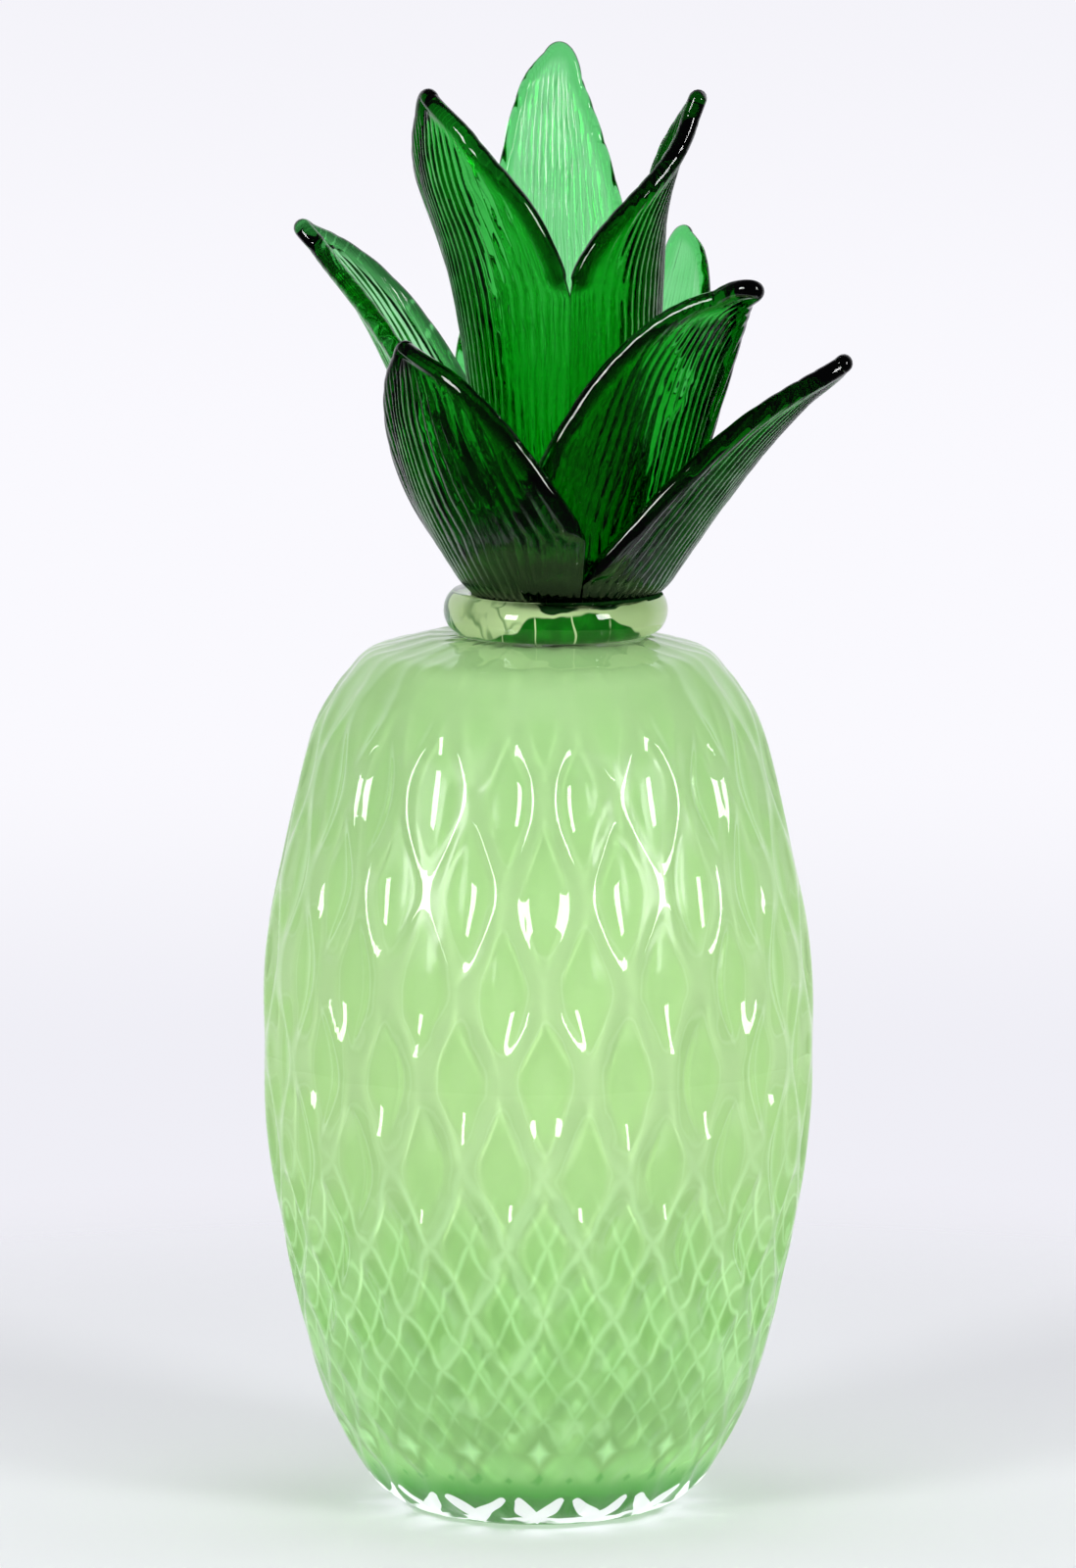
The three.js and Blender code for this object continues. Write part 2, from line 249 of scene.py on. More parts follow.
def make_world():
    world = bpy.data.worlds.new("studio")
    world.use_nodes = True
    bpy.context.scene.world = world
    nodes = Nodes(world.node_tree)
    direction = nodes.add("ShaderNodeTexCoord", output="Generated")
    depth = nodes.part(direction, 1)
    height = nodes.part(direction, 2)
    wall = nodes.mix(height.eased(*FOOT_TO_MIDDLE), WALL_FOOT, WALL_MIDDLE)
    wall = nodes.mix(height.eased(*MIDDLE_TO_TOP), wall, WALL_TOP)
    studio = nodes.mix(depth.eased(*ROOM_TO_WALL), ROOM, wall)
    studio = nodes.mix(height.eased(*WALL_TO_CEILING), studio, ROOM)
    seen_in_glass = nodes.ray("Is Glossy Ray").maths("MAXIMUM", nodes.ray("Is Transmission Ray"))
    ambient = nodes.mix(depth.eased(*FRONT_TO_BACK), AMBIENT_FRONT, AMBIENT_BACK)
    colour = nodes.mix(seen_in_glass, ambient, studio)
    colour = nodes.mix(nodes.ray("Is Camera Ray"), colour, wall)
    shade = nodes.add("ShaderNodeBackground", inputs={"Color": colour, "Strength": 1})
    nodes.add("ShaderNodeOutputWorld", inputs={"Surface": shade})


make_world()
print("world ready")

# %% Lamps
LAMP_DISTANCE = 2.0
LAMP_TARGET = 0.2
SOFTBOX_SIZE = (0.48, 0.7)
SOFTBOX_POWER = 17.0
FILL_SIZE = (0.7, 0.7)
FILL_POWER = 4.0
TOP_POWER = 2.0
SIDE_POWER = 5.0
# Each lamp's azimuth from the front towards the right, its elevation, size and power.
LAMPS = {
    "softbox_left": (-47, 16, SOFTBOX_SIZE, SOFTBOX_POWER),
    "softbox_right": (51, 17, SOFTBOX_SIZE, SOFTBOX_POWER),
    "fill_left": (-34, 36, FILL_SIZE, FILL_POWER),
    "fill_right": (34, 36, FILL_SIZE, FILL_POWER),
    "fill_top": (0, 78, FILL_SIZE, TOP_POWER),
    "side_left": (-100, 12, FILL_SIZE, SIDE_POWER),
    "side_right": (100, 12, FILL_SIZE, SIDE_POWER),
}


def make_lamp(name, azimuth, elevation, size, power):
    """A lamp on a sphere around the ornament, facing its middle."""
    data = bpy.data.lights.new(name, "AREA")
    data.shape = "RECTANGLE"
    data.size, data.size_y = size
    data.energy = power
    lamp = link(name, data)
    turn = math.radians(azimuth)
    rise = math.radians(elevation)
    level = LAMP_DISTANCE * math.cos(rise)
    height = LAMP_TARGET + LAMP_DISTANCE * math.sin(rise)
    lamp.location = (level * math.sin(turn), -level * math.cos(turn), height)
    lamp.rotation_euler = (math.pi / 2 - rise, 0, turn)
    lamp.visible_glossy = name.startswith("softbox")


for name, sizes in LAMPS.items():
    make_lamp(name, *sizes)
print("lamps", list(LAMPS))

# %% Floor
FLOOR_RADIUS = 4.0
FLOOR_CORNERS = 64
FLOOR_DROP = 0.0003
FLOOR_FADE = (0.27, 0.5)
TABLE_EDGE = (-0.2, -0.05)
TABLE_SIDE = (0.16, 0.3)
FLOOR_COLOUR = (0.79, 0.795, 0.82, 1)


def make_floor():
    material, nodes = material_nodes("pale_floor")
    where = nodes.add("ShaderNodeTexCoord", output="Object")
    radius = nodes.add("ShaderNodeVectorMath", {"operation": "LENGTH"}, {0: where}, 1)
    matte = nodes.add("ShaderNodeBsdfDiffuse", inputs={"Color": FLOOR_COLOUR})
    clear = nodes.add("ShaderNodeBsdfTransparent")
    front = 1 - nodes.part(where, 1).eased(*TABLE_EDGE)
    far = front.maths("MAXIMUM", radius.eased(*TABLE_SIDE))
    edge = radius.eased(*FLOOR_FADE).maths("MAXIMUM", nodes.ray("Is Glossy Ray") * far)
    nodes.surface(nodes.add("ShaderNodeMixShader", inputs={0: edge, 1: matte, 2: clear}))
    turns = np.linspace(0, math.tau, FLOOR_CORNERS, endpoint=False)
    points = [(FLOOR_RADIUS * math.cos(a), FLOOR_RADIUS * math.sin(a), -FLOOR_DROP) for a in turns]
    mesh = bpy.data.meshes.new("floor")
    mesh.from_pydata(points, [], [tuple(range(FLOOR_CORNERS))])
    mesh.materials.append(material)
    floor = link("floor", mesh)
    floor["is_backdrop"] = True


make_floor()
print("floor ready")

# %% [markdown]
# ## Glass
# Clear glass is a Principled shader with full transmission. Lamps can't reach what is inside glass by
# themselves, because a shadow ray doesn't bend, so each glass lets shadow rays through, tinted by the
# glass. Coloured glass gets its colour from Volume Absorption: a thin wall is bright mint and a thick
# rim nearly black. `kept` is the share of red, green and blue that is left after one leaf's
# thickness. The rims are also painted darker, as shade for the dark room that the round beads bend
# into view, and `streak` is the tint of fine lines of painted shade along the ribs, where they bend
# the dark room into view. The thick foot gathers the light of the table into a row of white Vs. Such
# light comes from more bends than a render follows, so the casing's glass gives it out itself as
# painted light, inside a mask.

# %% Glass materials
GLASS_IOR = 1.5
LEAF_DEPTH = 0.003
DEEP_KEPT = (0.03, 0.45, 0.05)
CLEAR_KEPT = (0.075, 0.57, 0.11)
PALE_KEPT = (0.45, 0.87, 0.5)
LIGHT_KEPT = (0.25, 0.79, 0.32)
# Painted shade: the rims and tips of the leaves are darkened in their colour, for the dark room that
# the round beads bend into view.
RIM_PAINTED_SHADE = (0.1, 0.2, 0.12, 1)
PALE_RIM_PAINTED_SHADE = (0.7, 0.9, 0.75, 1)
# Painted shade: the tints of the dark lines along the ribs of the leaves.
GREY_RIB_SHADE = (0.35, 0.5, 0.38, 1)
PALE_RIB_SHADE = (0.5, 0.75, 0.55, 1)
FOOT_VS = 16
V_THICKNESS = 2.7
V_SLOPE = 14
V_HEIGHT = 3.2
V_REACH = 0.43
LINK_HEIGHT = 2.2
LINK_EDGE = (1.1, 1.4)
FOOT_EDGE = (0.0006, 0.001)
FOOT_WHITE = (0.78, 0.77, 0.82, 1)
FOOT_CLEAR = (0.2, 0.2, 0.2, 1)


def waver(nodes, where, seed, scale, amount):
    """Noise around 0, to bend the lines of a pattern."""
    return (nodes.noise(where, scale, 1.0, seed) - 0.5) * amount


def foot_light(nodes):
    """1 inside the thick white Vs in which the foot gathers the light of the table, and 0 outside."""
    where, height, angle = spot_of(nodes)
    around = angle * (FOOT_VS / math.tau) + waver(nodes, where, seed=4.0, scale=60.0, amount=0.5)
    across = around.from_whole()
    rise = height / MM + waver(nodes, where, seed=6.0, scale=90.0, amount=3.0)
    thick = V_THICKNESS - (across / V_REACH) ** 8 * V_THICKNESS
    arms = 1 - (abs(rise - across * V_SLOPE - V_HEIGHT) - thick).eased(-0.15, 0.15)
    links = 1 - abs(rise - LINK_HEIGHT).eased(*LINK_EDGE)
    links = links * nodes.noise(where, scale=70.0).eased(0.4, 0.46)
    return arms.maths("MAXIMUM", links) * height.eased(*FOOT_EDGE)


def painted_rib_shade(nodes):
    """1 on fine lines of painted shade along the ribs of a leaf, where they bend the dark room into
    view; the lines come and go.
    """
    where = nodes.add("ShaderNodeTexCoord", output="Object")
    phase = (nodes.stored("rib") * 2 + waver(nodes, where, seed=8.0, scale=45.0, amount=2.4)) * math.pi
    return (1 - abs(phase.sine()).eased(0.05, 0.4)) * nodes.noise(where, scale=75.0).eased(0.4, 0.6)


def glass(name, tint=(1, 1, 1, 1), kept=None, rim=None, light=None, streak=None):
    """Glass with a tint at its surface or a colour in its depth, painted shade on its rims and ribs,
    and painted light inside a mask.
    """
    material, nodes = material_nodes(name)
    through = (*(math.sqrt(share) for share in kept), 1) if kept else tint
    inputs = {"Roughness": 0.0, "IOR": GLASS_IOR, "Transmission Weight": 1.0}
    # Painted shade: the colour darkens on the rims, and below along the ribs.
    inputs["Base Color"] = nodes.mix(nodes.stored("rim"), tint, rim) if rim else tint
    if streak:
        inputs["Base Color"] = nodes.mix(painted_rib_shade(nodes), inputs["Base Color"], streak)
    # Painted light: inside the Vs the glass glows with the table's light, and lets less through.
    if light:
        lit = light(nodes)
        inputs["Base Color"] = nodes.mix(lit, tint, FOOT_CLEAR)
        inputs["Emission Color"] = nodes.mix(lit, (0, 0, 0, 1), FOOT_WHITE)
        inputs["Emission Strength"] = 1.0
    shade = nodes.add("ShaderNodeBsdfPrincipled", inputs=inputs)
    clear = nodes.add("ShaderNodeBsdfTransparent", inputs={"Color": through})
    lamp_ray = nodes.ray("Is Shadow Ray")
    surface = nodes.add("ShaderNodeMixShader", inputs={0: lamp_ray, 1: shade, 2: clear})
    outputs = {"Surface": surface}
    if kept:
        losses = [-math.log(share) / LEAF_DEPTH for share in kept]
        density = 1.02 * max(losses)
        body = (*(1 - loss / density for loss in losses), 1)
        inputs = {"Color": body, "Density": density}
        outputs["Volume"] = nodes.add("ShaderNodeVolumeAbsorption", inputs=inputs)
    nodes.add("ShaderNodeOutputMaterial", inputs=outputs)
    return material


clear_glass = glass("clear_glass", tint=(0.98, 0.99, 0.975, 1), light=foot_light)
collar_glass = glass("collar_glass", tint=(0.96, 0.98, 0.93, 1))
deep_leaf_glass = glass("deep_leaf_glass", kept=DEEP_KEPT, rim=RIM_PAINTED_SHADE, streak=GREY_RIB_SHADE)
clear_leaf_glass = glass("clear_leaf_glass", kept=CLEAR_KEPT, rim=RIM_PAINTED_SHADE, streak=GREY_RIB_SHADE)
pale_leaf_glass = glass("pale_leaf_glass", kept=PALE_KEPT, rim=RIM_PAINTED_SHADE, streak=PALE_RIB_SHADE)
light_leaf_glass = glass("light_leaf_glass", kept=LIGHT_KEPT, rim=PALE_RIM_PAINTED_SHADE, streak=PALE_RIB_SHADE)


def make_fused():
    """Where two pieces of clear glass are fused there is no surface, so rays go straight on."""
    material, nodes = material_nodes("fused_joint")
    nodes.surface(nodes.add("ShaderNodeBsdfTransparent"))
    return material


# Painted view: these colours stand for the body and leaves that the clear ring bends into sight; the
# darkest also paints a line of shade at its bottom.
JOINT_FOOT = 0.2405
JOINT_HEIGHT = 0.008
JOINT_CREAM = (0.36, 0.48, 0.24, 1)
JOINT_GREEN = (0.004, 0.08, 0.004, 1)
JOINT_DARK = (0.006, 0.03, 0.006, 1)
JOINT_BRIGHT = (0.006, 0.14, 0.006, 1)
PATCH_TOP = 0.84
PATCH_MIDDLE = 0.18
PATCH_EDGE = (0.26, 0.88)
CROWN_FOOT = 0.93
SLIT_STEP = 0.4
FOLD_MIDDLE = -0.75


def make_joint():
    """A painted view of what shows through the collar: pale body glass and the green of the three
    lowest leaves, with a painted line of shade along its bottom.
    """
    material, nodes = material_nodes("joint_glass")
    where, height, angle = spot_of(nodes, COLLAR_SHIFT * MM)
    around = angle - PATCH_MIDDLE
    away = (around * (3 / math.tau)).from_whole() * (math.tau / 3)
    rise = (height - JOINT_FOOT) / JOINT_HEIGHT
    rise = rise + waver(nodes, where, seed=1.0, scale=140.0, amount=0.6)
    patch = (PATCH_TOP - away.eased(*PATCH_EDGE) * 0.6 - rise).eased(-0.03, 0.03)
    crown = (rise - CROWN_FOOT - away.eased(0.2, 0.9) * 0.2).eased(-0.02, 0.02)
    # Painted shade: a thin dark line along the very bottom of the ring.
    under = 1 - (height - JOINT_FOOT).eased(0.0, 0.0005)
    cloud = nodes.noise(where, scale=160.0, detail=3.0)
    green = nodes.mix(cloud.eased(0.4, 0.65), JOINT_GREEN, JOINT_BRIGHT)
    bent = around * (math.pi / SLIT_STEP) + waver(nodes, where, seed=5.0, scale=120.0, amount=2.0)
    slit = 1 - abs(bent.sine()).eased(0.03, 0.1)
    green = nodes.mix(slit * cloud.eased(0.35, 0.5), green, JOINT_CREAM)
    folds = 1 - abs(nodes.noise(where, scale=95.0) - 0.5).eased(0.002, 0.045)
    fold = folds * (1 - abs(angle - FOLD_MIDDLE).eased(0.2, 0.5)) * 0.6
    colour = nodes.mix(fold, JOINT_CREAM, JOINT_GREEN)
    colour = nodes.mix(patch, colour, green)
    colour = nodes.mix(crown.maths("MAXIMUM", under), colour, JOINT_DARK)
    inputs = {"Base Color": colour, "Roughness": 0.6, "Specular IOR Level": 0.0}
    nodes.surface(nodes.add("ShaderNodeBsdfPrincipled", inputs=inputs))
    return material


fused_joint = make_fused()
joint_glass = make_joint()
print("glass", [m.name for m in bpy.data.materials])

# %% [markdown]
# ## Meshes from rings
# The body, collar and hub are spun: a profile of radius, height and sideways shift, repeated round an
# axis. Leaves are lofted from rings of points. Both are grids of points, closed at their ends, so one
# helper makes the mesh and stores the attributes that the Geometry Nodes read.


# %% Mesh helpers
def grid_mesh(name, rings, attributes, poles=None):
    """A closed tube through rings of points. Without poles, a strip closes the first ring, and the
    last one, whose halves lie on each other, is welded."""
    rows, around = rings.shape[:2]
    index = np.arange(rows * around).reshape(rows, around)
    onwards = np.roll(index, -1, axis=1)
    faces = np.stack([index[:-1], onwards[:-1], onwards[1:], index[1:]], axis=-1).reshape(-1, 4)
    points = rings.reshape(-1, 3)
    if poles is None:
        ends = strip(index[0])
    else:
        points = np.vstack([points, poles])
        first, last = rows * around, rows * around + 1
        ends = [(first, b, a) for a, b in zip(index[0], onwards[0], strict=True)]
        ends += [(last, a, b) for a, b in zip(index[-1], onwards[-1], strict=True)]
    mesh = bpy.data.meshes.new(name)
    mesh.from_pydata((points * MM).tolist(), [], [tuple(face) for face in faces] + ends)
    for key, values in attributes.items():
        values = np.concatenate([np.ravel(values), np.zeros(len(points) - rows * around)])
        layer = mesh.attributes.new(key, "FLOAT", "POINT")
        layer.data.foreach_set("value", values.astype(np.float32))
    if poles is None:
        weld(mesh)
    mesh.shade_smooth()
    return mesh


def weld(mesh):
    edit = bmesh.new()
    edit.from_mesh(mesh)
    bmesh.ops.remove_doubles(edit, verts=edit.verts, dist=0.002 * MM)
    edit.to_mesh(mesh)
    edit.free()


def strip(ring):
    """Faces that close a flat ring whose second half runs back along its first."""
    steps = range(len(ring) // 2 - 1)
    return [(ring[-1 - k], ring[-2 - k], ring[k + 1], ring[k]) for k in steps]


def spun(name, profile, columns, attributes=None):
    """Spins a profile of (radius, height, shift) from pole to pole; angle 0 faces the front."""
    profile = np.asarray(profile, float)
    angles = np.linspace(0, 2 * np.pi, columns, endpoint=False)
    inner = profile[1:-1]
    x = inner[:, 2:3] + inner[:, 0:1] * np.sin(angles)
    y = -inner[:, 0:1] * np.cos(angles)
    z = np.repeat(inner[:, 1:2], columns, axis=1)
    poles = [[profile[0, 2], 0, profile[0, 1]], [profile[-1, 2], 0, profile[-1, 1]]]
    return link(name, grid_mesh(name, np.stack([x, y, z], axis=-1), attributes or {}, poles))


def joined(first, second):
    """Joins two objects that are one piece, such as the outer and inner wall of a shell."""
    bpy.ops.object.select_all(action="DESELECT")
    second.select_set(True)
    first.select_set(True)
    bpy.context.view_layer.objects.active = first
    bpy.ops.object.join()
    return first


def paint(thing, material, inside):
    """Gives the faces whose centres lie inside some region a material of their own."""
    thing.data.materials.append(material)
    for face in thing.data.polygons:
        if inside(*(face.center / MM)):
            face.material_index = len(thing.data.materials) - 1


def measured(thing):
    corners = np.array([v.co for v in thing.data.vertices])
    size = (corners.max(0) - corners.min(0)) / MM
    print(f"{thing.name}: {size.round(1)} mm, {len(thing.data.polygons)} faces")


print("mesh helpers ready")

# %% [markdown]
# ## Geometry Nodes helpers
# Each tree has named inputs. Its modifier is set by the sockets' identifiers, evaluated once, and
# turned into a plain mesh, so that nothing live is left on the piece.


# %% Geometry Nodes helpers
def geometry_tree(name, sizes):
    """A tree with a geometry, its sizes and a material as inputs. Returns its nodes and sockets."""
    tree = bpy.data.node_groups.new(name, "GeometryNodeTree")

    def socket(name, kind, side="INPUT"):
        return tree.interface.new_socket(name=name, in_out=side, socket_type=f"NodeSocket{kind}")

    socket("Geometry", "Geometry")
    for size, value in sizes.items():
        socket(size, "Float").default_value = value
    socket("Material", "Material")
    socket("Geometry", "Geometry", "OUTPUT")
    nodes = Nodes(tree)
    start = tree.nodes.new("NodeGroupInput")
    return nodes, {s.name: Value(nodes, s) for s in start.outputs if s.name}


def displaced(nodes, given, amount):
    """Moves the points out by some amount and ends the tree: instances made real, material set."""
    inputs = {0: nodes.add("GeometryNodeInputNormal"), "Scale": amount}
    offset = nodes.add("ShaderNodeVectorMath", {"operation": "SCALE"}, inputs)
    inputs = {"Geometry": given["Geometry"], "Offset": offset}
    moved = nodes.add("GeometryNodeSetPosition", inputs=inputs)
    real = nodes.add("GeometryNodeRealizeInstances", inputs={"Geometry": moved})
    inputs = {"Geometry": real, "Material": given["Material"]}
    painted = nodes.add("GeometryNodeSetMaterial", inputs=inputs)
    nodes.add("NodeGroupOutput", inputs={"Geometry": painted})
    return nodes.tree


def attribute(nodes, name):
    settings = {"data_type": "FLOAT"}
    return nodes.add("GeometryNodeInputNamedAttribute", settings, {"Name": name})


def apply_tree(thing, tree, material, sizes):
    """Runs a tree on an object with its sizes and leaves a plain mesh."""
    modifier = thing.modifiers.new(tree.name, "NODES")
    modifier.node_group = tree
    values = {**sizes, "Material": material}
    for item in tree.interface.items_tree:
        if item.in_out == "INPUT" and item.name in values:
            modifier[item.identifier] = values[item.name]
    graph = bpy.context.evaluated_depsgraph_get()
    mesh = bpy.data.meshes.new_from_object(thing.evaluated_get(graph))
    thing.modifiers.clear()
    old = thing.data
    thing.data = mesh
    bpy.data.meshes.remove(old)
    mesh.name = thing.name
    return thing


print("geometry helpers ready")

# %% [markdown]
# ## The body's outline
# The outline is the same smooth curve as in the construction: shares of the way out from the foot to
# the belly and in again to the crest, through a Catmull-Rom curve. The foot is flat, with its edge
# rounded by the fire.

# %% Body outline
COLLAR_WAIST = 25.5
BODY_HEIGHT = casing_high.z / MM
BODY_RADIUS = 75.0
BELLY_HEIGHT = 122.0
FOOT_RADIUS = 36.0
FOOT_ROUNDING = 4.5
CREST_RADIUS = 30.0
CREST_DROP = 0.7
POLE_RADIUS = 0.6
LOWER_SWELL = [(0, 0), (0.064, 0.246), (0.17, 0.451), (0.294, 0.615), (0.516, 0.795), (0.779, 0.949)]
UPPER_SWELL = [(0, 1), (0.229, 0.989), (0.415, 0.922), (0.593, 0.818), (0.78, 0.693), (0.871, 0.569)]
SHOULDER_TURN = [(0.911, 0.489), (0.96, 0.369), (0.98, 0.2), (1, 0)]


def mix(low, high, share):
    return low + (high - low) * share


def ease(value, low, high):
    share = np.clip((value - low) / (high - low), 0, 1)
    return share * share * (3 - 2 * share)


def through(points, steps):
    """A Catmull-Rom curve through points."""
    points = np.asarray(points, float)
    place = np.linspace(0, len(points) - 1, steps)
    left = np.minimum(place.astype(int), len(points) - 2)
    t = (place - left)[:, None]
    p0 = points[np.maximum(left - 1, 0)]
    p1 = points[left]
    p2 = points[left + 1]
    p3 = points[np.minimum(left + 2, len(points) - 1)]
    v1 = (p2 - p0) / 2
    v2 = (p3 - p1) / 2
    cubic = (2 * p1 - 2 * p2 + v1 + v2) * t**3 + (-3 * p1 + 3 * p2 - 2 * v1 - v2) * t**2
    return cubic + v1 * t + p1


def body_outline(steps=600):
    low = [(mix(FOOT_RADIUS, BODY_RADIUS, s), h * BELLY_HEIGHT) for h, s in LOWER_SWELL]
    crest = BODY_HEIGHT - CREST_DROP
    high = [
        (mix(CREST_RADIUS, BODY_RADIUS, s), mix(BELLY_HEIGHT, crest, h))
        for h, s in UPPER_SWELL + SHOULDER_TURN
    ]
    return through(low + high, steps)


def lengths_along(points):
    """How far along a line each of its points is."""
    return np.concatenate([[0], np.cumsum(np.linalg.norm(np.diff(points, axis=0), axis=1))])


def resampled(places, lengths, points):
    """The values at new places along a line, from those at its points."""
    return np.stack([np.interp(places, lengths, points[:, k]) for k in range(2)], axis=1)


outline = body_outline()
print(f"body {BODY_HEIGHT:.0f} mm tall, outline of {len(outline)} points")


# %% Body profile
def even_steps(points, step):
    """The same line with points a step apart."""
    points = np.asarray(points, float)
    lengths = lengths_along(points)
    places = np.linspace(0, lengths[-1], max(2, round(lengths[-1] / step)))
    return resampled(places, lengths, points)


def body_profile(step):
    """From the axis under the foot, round the foot's edge, up the side and over the crest."""
    side = outline[outline[:, 1] > FOOT_ROUNDING]
    t = np.linspace(0, 1, 12)[:, None]
    start = np.array([FOOT_RADIUS - FOOT_ROUNDING, 0])
    corner = np.array([FOOT_RADIUS, 0])
    rounding = start * (1 - t) ** 2 + corner * 2 * t * (1 - t) + side[0] * t**2
    crest = np.array([[CREST_RADIUS * 0.5, BODY_HEIGHT - 0.1], [POLE_RADIUS, BODY_HEIGHT]])
    below = even_steps([[POLE_RADIUS, 0], rounding[0]], 4 * step)[:-1]
    above = even_steps(np.vstack([side[-1:], crest]), 3 * step)[1:]
    return np.vstack([below, even_steps(np.vstack([rounding, side[1:]]), step), above])


profile = body_profile(1.25)
print(f"{len(profile)} rings up the body")

# %% [markdown]
# ## The diamond relief
# A mould presses the diamonds into the casing. Ridges run both ways round the body, as on the fruit.
# With `turn` counting half diamonds round the body and `row` counting half diamonds upwards, a ridge
# lies wherever turn + row or turn - row is even. The product of two sines is 0 on every ridge and 1 in
# the middle of every diamond, and that is the whole pattern. The rows come closer below the belly,
# and the last one is stretched down to the foot, where its ridges stand as a row of tall Vs.

# %% Rows of diamonds
DIAMONDS_AROUND = 20
MOULD_TURN = 1.5
DIAMOND_HEIGHT = 50.4
DIAMOND_SHRINK = 0.85
TOP_ROW = BODY_HEIGHT - 36.6
EVEN_ROWS = 4
LAST_ROW = -10
LAST_ROW_HEIGHT = 13.6
FOOT_DIAMOND = 15.0


def row_at(spots):
    """The row coordinate along a profile, 0 at the top row of diamonds and falling downwards."""
    half = DIAMOND_HEIGHT / 2
    lengths = lengths_along(spots)
    top = np.interp(TOP_ROW, spots[:, 1], lengths)
    belly = TOP_ROW - EVEN_ROWS * half
    down = np.maximum(belly - spots[:, 1], 0)
    shrink = DIAMOND_SHRINK
    extra = np.log(1 - down * (1 - shrink) / (half * shrink)) / np.log(shrink)
    upper = (lengths - top) / half
    middle = (spots[:, 1] - TOP_ROW) / half
    lower = np.maximum(-EVEN_ROWS - extra, LAST_ROW + (spots[:, 1] - LAST_ROW_HEIGHT) / FOOT_DIAMOND)
    return np.where(spots[:, 1] > TOP_ROW, upper, np.where(down > 0, lower, middle))


rows = row_at(profile)
print(f"rows from {rows.min():.1f} to {rows.max():.1f}")

# %% [markdown]
# The tree moves each point inwards by the depth of its diamond. A little noise bends the ridges, as
# no two diamonds of hand-made glass are alike. `Softness` rounds the ridges: the hollow grows with
# the square of the product first and then levels out.


# %% Relief tree
DEPTH_STEPS = [
    ("Low Depth", 0.05, 0.09),
    ("Belly Depth", 0.15, 0.38),
    ("Shoulder Depth", 0.5, 0.9),
    ("Crest Depth", 0.86, 0.99),
]


def product_of_sines(first, second):
    """0 on the ridges of the net and 1 in the middle of each diamond."""
    return abs((first * math.pi).sine()) * abs((second * math.pi).sine())


def relief_tree():
    sizes = {
        "Foot Depth": 0.7,
        "Low Depth": 1.1,
        "Belly Depth": 3.9,
        "Shoulder Depth": 2.7,
        "Crest Depth": 0.3,
        "Softness": 0.3,
        "Wobble": 0.1,
        "Seed": 0.0,
        "Height": BODY_HEIGHT,
    }
    nodes, given = geometry_tree("diamond_relief", sizes)
    turn = attribute(nodes, "turn")
    row = attribute(nodes, "row")
    place = nodes.add("GeometryNodeInputPosition")
    bends = [nodes.noise(place, 30.0, 1.0, given["Seed"] + shift) - 0.5 for shift in (0.0, 7.0)]
    first = (turn + row) * 0.5 + bends[0] * given["Wobble"]
    second = (turn - row) * 0.5 + bends[1] * given["Wobble"]
    product = product_of_sines(first, second)
    square = product * product
    soft = given["Softness"] * given["Softness"]
    hollow = square / (square + soft) * (1 + soft)
    share = nodes.part(place, 2) / (given["Height"] * MM)
    depth = given["Foot Depth"]
    for part, low, high in DEPTH_STEPS:
        depth = depth + (given[part] - depth) * share.eased(low, high)
    return displaced(nodes, given, hollow * (depth * share.eased(0.0, 0.015)) * (-MM))


relief = relief_tree()
print("relief tree", len(relief.nodes), "nodes")

# %% [markdown]
# ## Opal glass
# The opal glass of the bubble is milky, so it is an ordinary matte green. The light that the ridges
# of the casing bend onto it is painted in: pale bands between the diamonds, and low down, where the
# glass is thick, bright lines. There a second net of painted light lines, shifted by half a diamond,
# stands for the light on the bubble's own pressed ridges, and each small diamond is painted lighter
# in one half than in the other, as shade. The lines follow the same rule as the relief, with noise
# that makes them waver. Just above the foot the green is blotchy, with a row of small bright
# lozenges, a row of dark dots and a deep green band.

# %% Opal material
OPAL_CELL = (0.435, 0.635, 0.305, 1)
# Painted light: this and the low line colour are the lines and bands that the casing's ridges bend onto
# the green; the low one also lightens blotches.
OPAL_LIT_LINE = (0.54, 0.725, 0.42, 1)
OPAL_LOW_CELL = (0.325, 0.60, 0.22, 1)
OPAL_LOW_DEEP = (0.265, 0.50, 0.17, 1)
OPAL_LOW_LINE = (0.46, 0.75, 0.35, 1)
# Painted shade: the darker green of the upper body under the crown.
OPAL_SHOULDER_SHADE = (0.35, 0.545, 0.255, 1)
OPAL_BASE = (0.345, 0.68, 0.235, 1)
OPAL_UNDER = (0.10, 0.42, 0.065, 1)
OPAL_MARK = (0.50, 0.82, 0.40, 1)
NET_SHIFT = 0.47
LOW_HALF = (0.03, 0.15)
SHOULDER_SHADE_RISE = (0.12, 0.23)
FOOT_MARK = 0.0245
FOOT_DOT = 0.0165


def contour(product, level, width):
    """1 on the line where the product of sines has a level, and 0 a width away from it."""
    return 1 - abs(product - level).eased(0.0, width)


def net(first, second):
    """1 on the soft lines of a net, and 0 between them."""
    near = abs((first * math.pi).sine()).maths("MINIMUM", abs((second * math.pi).sine()))
    return 1 - near.eased(0.0, 0.25)


def spots_round(angle, height, count, level, high):
    """How far a point is from the nearest of a row of lozenges round the body, 1 at their edges."""
    return (angle * (count / math.tau)).from_whole() / 0.2 + abs(height - level) / high


